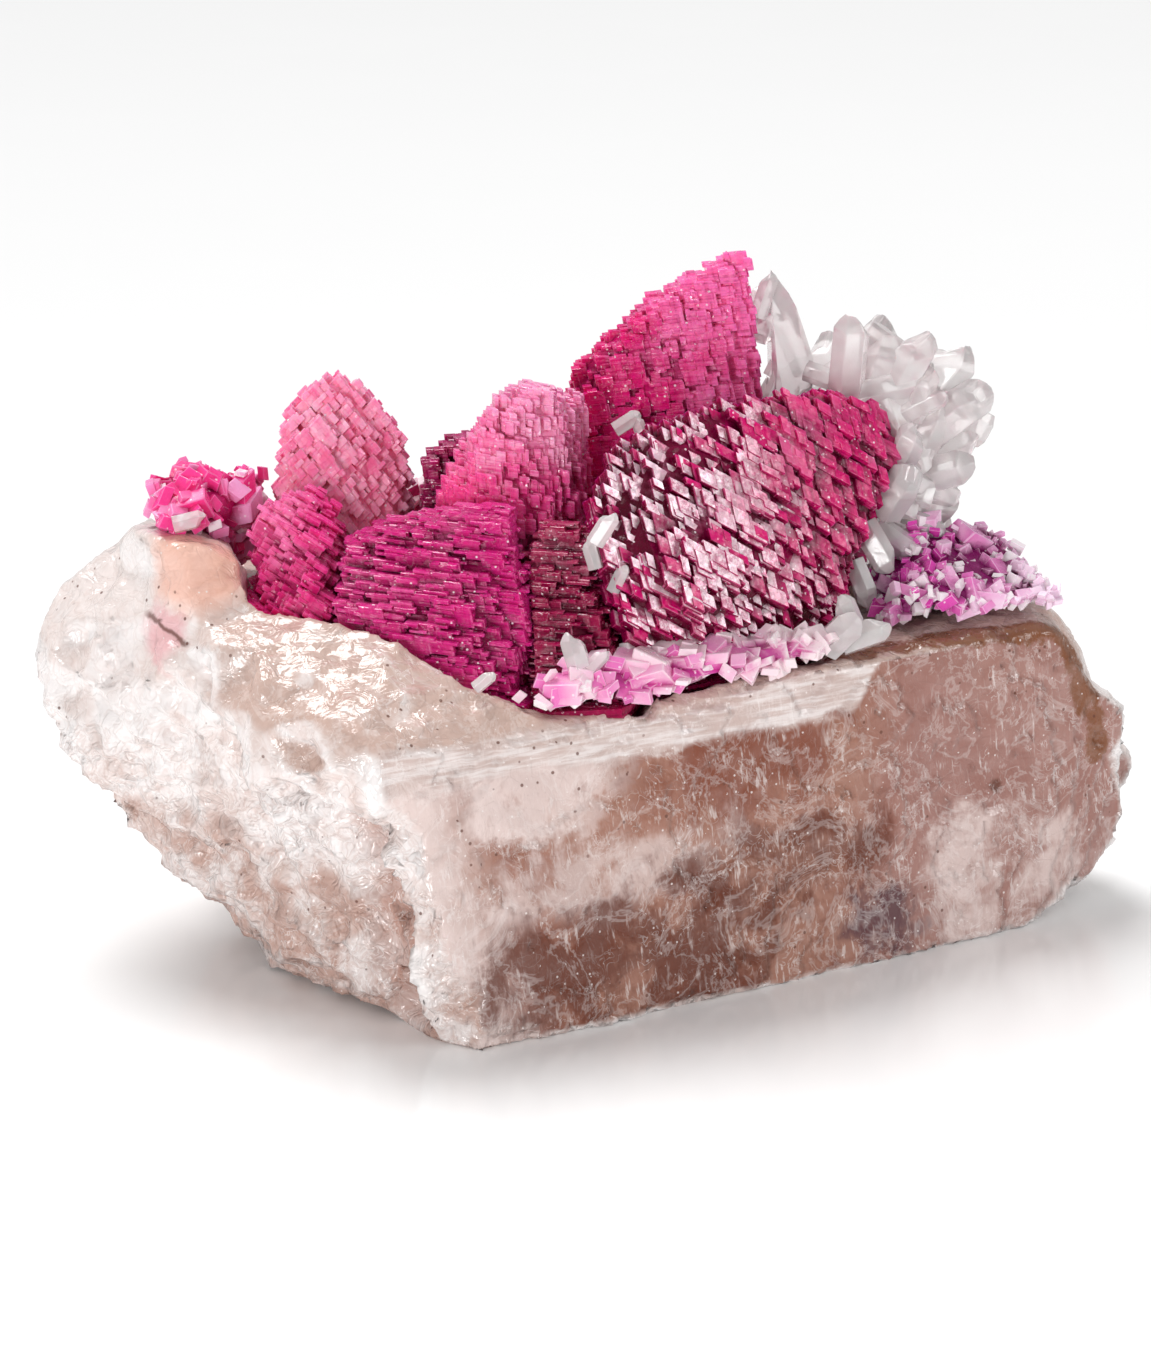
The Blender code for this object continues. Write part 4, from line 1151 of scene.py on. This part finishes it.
# Deep, body and pale colours of each crystal (deep is painted shade in the hollows), the side painted paler as light,
# its slot and any painted silver sheen.
CRYSTALS = {
    "shield_crystal": dict(
        colours=((0.095, 0.0004, 0.014), (0.66, 0.006, 0.155), (0.94, 0.26, 0.48)),
        light_side=((0.9, 0.0, 0.2), 29.0, 37.0, 0.5), slot="magenta_calcite", silver=0.92,
    ),
    "peak_crystal": dict(
        colours=((0.32, 0.0015, 0.07), (0.76, 0.008, 0.18), (1.0, 0.17, 0.46)),
        light_side=((0.75, 0.0, 0.66), 31.0, 43.0, 0.85), slot="magenta_calcite",
    ),
    "terrace_crystal": dict(
        colours=((0.17, 0.0009, 0.033), (0.64, 0.014, 0.20), (0.90, 0.17, 0.42)),
        light_side=((0.2, 0.0, 1.0), 33.0, 41.0, 0.5), slot="magenta_calcite",
    ),
    "front_crystal": dict(
        colours=((0.07, 0.0005, 0.010), (0.32, 0.003, 0.060), (0.70, 0.16, 0.28)),
        light_side=((-1.0, 0.0, 0.0), 4.0, 9.0, 0.2), slot="plum_calcite",
    ),
    "seam_crystal": dict(
        colours=((0.09, 0.0005, 0.018), (0.34, 0.003, 0.09), (0.74, 0.10, 0.34)),
        light_side=((0.0, 0.0, 1.0), 42.0, 46.0, 0.3), slot="plum_calcite",
    ),
    "stair_crystal": dict(
        colours=((0.55, 0.006, 0.14), (0.98, 0.07, 0.32), (1.0, 0.38, 0.60)),
        light_side=((0.2, 0.0, 1.0), 35.0, 44.0, 0.75), slot="pink_calcite",
    ),
    "cone_crystal": dict(
        colours=((0.38, 0.003, 0.085), (0.80, 0.028, 0.23), (0.98, 0.22, 0.47)),
        light_side=((-0.7, 0.0, 0.7), 40.0, 47.0, 0.6), slot="pink_calcite",
    ),
    "barrel_crystal": dict(
        colours=((0.92, 0.035, 0.24), (1.0, 0.15, 0.38), (1.0, 0.46, 0.62)),
        light_side=((-0.5, 0.0, 0.2), 17.0, 22.0, 0.5), slot="pink_calcite",
    ),
}
CRUST_WHITE = (0.90, 0.83, 0.85)
RIGHT, LEFT = (1.0, 0.0, 0.0), (-1.0, 0.0, 0.0)
# Deep, body and pale colours of each crust (deep is painted shade in the hollows), the side where it is pale, its
# share of white crystals and its slot.
CRUST_COLOURS = {
    "mauve_crystal": (
        ((0.50, 0.07, 0.22), (0.88, 0.42, 0.58), (0.97, 0.76, 0.83)), (RIGHT, 60.0, 70.0), 0.25, "mauve_calcite"
    ),
    "right_druse": (
        ((0.22, 0.003, 0.11), (0.72, 0.06, 0.42), (0.92, 0.68, 0.83)), (RIGHT, 26.0, 37.0), 0.25, "magenta_calcite"
    ),
    "left_druse": (
        ((0.50, 0.006, 0.13), (0.90, 0.05, 0.28), (0.86, 0.36, 0.62)), (RIGHT, -30.0, -26.0), 0.05, "pink_calcite"
    ),
    "rim_crust": (
        ((0.66, 0.06, 0.36), (0.84, 0.20, 0.52), (0.92, 0.74, 0.78)), (RIGHT, 4.0, 14.0), 0.05, "mauve_calcite"
    ),
    "back_druse": (
        ((0.22, 0.006, 0.06), (0.62, 0.05, 0.22), (0.90, 0.34, 0.50)), (RIGHT, 60.0, 70.0), 0.1, "pink_calcite"
    ),
}
# Loose clear crystals: middle, axis, width and length.
CLEAR_GRAINS = (
    ((-1.5, -19.4, 29.0), (-0.3, 0.2, 1.0), 2.0, 2.3), ((0.0, -19.6, 28.3), (0.8, 0.1, 0.9), 1.2, 2.0),
    ((0.6, -16.2, 38.0), (0.5, 0.1, 0.8), 1.5, 2.4), ((-0.2, -15.4, 35.8), (-0.3, 0.2, 1.0), 1.3, 2.2),
    ((1.8, -16.2, 34.0), (0.4, 0.0, 0.9), 1.2, 2.0), ((2.5, 4.0, 41.4), (0.8, 0.1, 0.5), 1.4, 2.0),
    ((3.8, 3.6, 40.8), (-0.4, 0.1, 1.0), 1.1, 1.7), ((-8.6, -22.2, 27.6), (0.7, 0.0, 0.6), 1.1, 1.6),
    ((-32.0, -10.0, 37.0), (0.9, 0.1, 0.2), 1.5, 2.2),
    ((24.6, 6.0, 35.0), (0.4, -0.5, 0.8), 3.2, 4.2), ((25.4, 7.0, 38.4), (0.3, -0.4, 0.9), 2.6, 3.6),
    ((22.8, 3.6, 31.4), (0.5, -0.3, -0.8), 2.3, 3.8), ((21.6, 2.2, 28.8), (0.4, -0.3, -0.9), 2.0, 3.4),
    ((24.6, 6.0, 31.0), (0.8, -0.3, -0.5), 2.4, 3.8), ((19.4, -8.4, 27.3), (0.6, -0.3, 0.7), 2.8, 3.2),
    ((21.2, -7.0, 26.8), (0.9, 0.1, 0.3), 2.4, 3.4), ((20.4, -6.0, 27.8), (-0.4, 0.2, 0.9), 2.0, 3.0),
)

node_copies = {node: node_copy(node, node + "_solid") for node in frame["nodes"] if node != "calcite_matrix"}
crystal_outlines = {node: Outline(points_of(node_copies[node].data)) for node in STEPPED}
step_mesh = make_step_block()
prism_mesh = make_prism()

for seed, (node, plan) in enumerate(STEPPED.items()):
    finish = CRYSTALS[node]
    skin = stepped_look(
        node + "_skin", finish["colours"], plan["directions"], finish["light_side"], finish.get("silver", 0.0)
    )
    dress(stepped_crystal(node, plan, step_mesh, 20 + seed), skin, finish["slot"], node)

for seed, (node, (flatness, leans, *rows)) in enumerate(CRUSTS.items()):
    *finish, slot = CRUST_COLOURS[node]
    crust = crystal_crust(node, flatness, leans, rows, step_mesh, 50 + seed)
    dress(crust, crust_look(node + "_skin", *finish), slot, node)

clear = clear_look()
dress(clear_cluster(prism_mesh, 71), clear, "clear_calcite", "clear_cluster")
dress(clear_blade(prism_mesh, 72), clear, "clear_calcite", "clear_blade")
dress(clear_grains(prism_mesh, 73), clear, "clear_calcite")

dress(broken_rock(), rock_look(), "pale_calcite", "calcite_matrix")

for piece in node_copies.values():
    bpy.data.objects.remove(piece)

# ------------------------------------------------------------------ floor, light and camera

pick_none()
bpy.ops.mesh.primitive_plane_add(size=FLOOR_WIDTH * MM)
floor = bpy.context.object
floor.name = "white_floor"
floor.data.materials.append(floor_look())


def soft_light(name, place, width, power, colour=(1.0, 1.0, 1.0)):
    """A soft panel that faces the middle of the specimen."""
    panel = bpy.data.lights.new(name, "AREA")
    panel.shape = "DISK"
    panel.size = width * MM
    panel.energy = power
    panel.color = colour
    lamp = new_piece(name, panel)
    lamp.location = Vector(place) * MM
    aim = VIEW_CENTRE * MM - lamp.location
    lamp.rotation_euler = aim.to_track_quat("-Z", "Y").to_euler()
    return lamp


def broad_light(name, toward, strength, spread):
    """Light from a wide, far panel, the same all over the floor."""
    sky = bpy.data.lights.new(name, "SUN")
    sky.energy = strength
    sky.angle = math.radians(spread)
    lamp = new_piece(name, sky)
    lamp.rotation_euler = Vector(toward).to_track_quat("Z", "Y").to_euler()
    return lamp


broad_light("overhead", (-0.26, 0.42, 0.87), 2.65, 34.0)
soft_light("front_left_box", (-215.0, -550.0, 80.0), 190.0, 1.5)
soft_light("right_box", (450.0, -130.0, 215.0), 190.0, 0.5)

world = bpy.data.worlds.new("studio")
world.use_nodes = True
world.node_tree.nodes["Background"].inputs["Color"].default_value = (1.0, 1.0, 1.0, 1.0)
world.node_tree.nodes["Background"].inputs["Strength"].default_value = 0.46
bpy.context.scene.world = world
bpy.context.scene.view_settings.view_transform = "Standard"

camera = new_piece("camera", bpy.data.cameras.new("camera"))
camera.data.lens = LENS_LENGTH
camera.data.clip_start = 0.01
toward = Vector((0.0, math.cos(VIEW_HEIGHT), -math.sin(VIEW_HEIGHT)))
camera.location = (VIEW_CENTRE - toward * VIEW_DISTANCE) * MM
camera.rotation_euler = toward.to_track_quat("-Z", "Y").to_euler()
bpy.context.scene.camera = camera
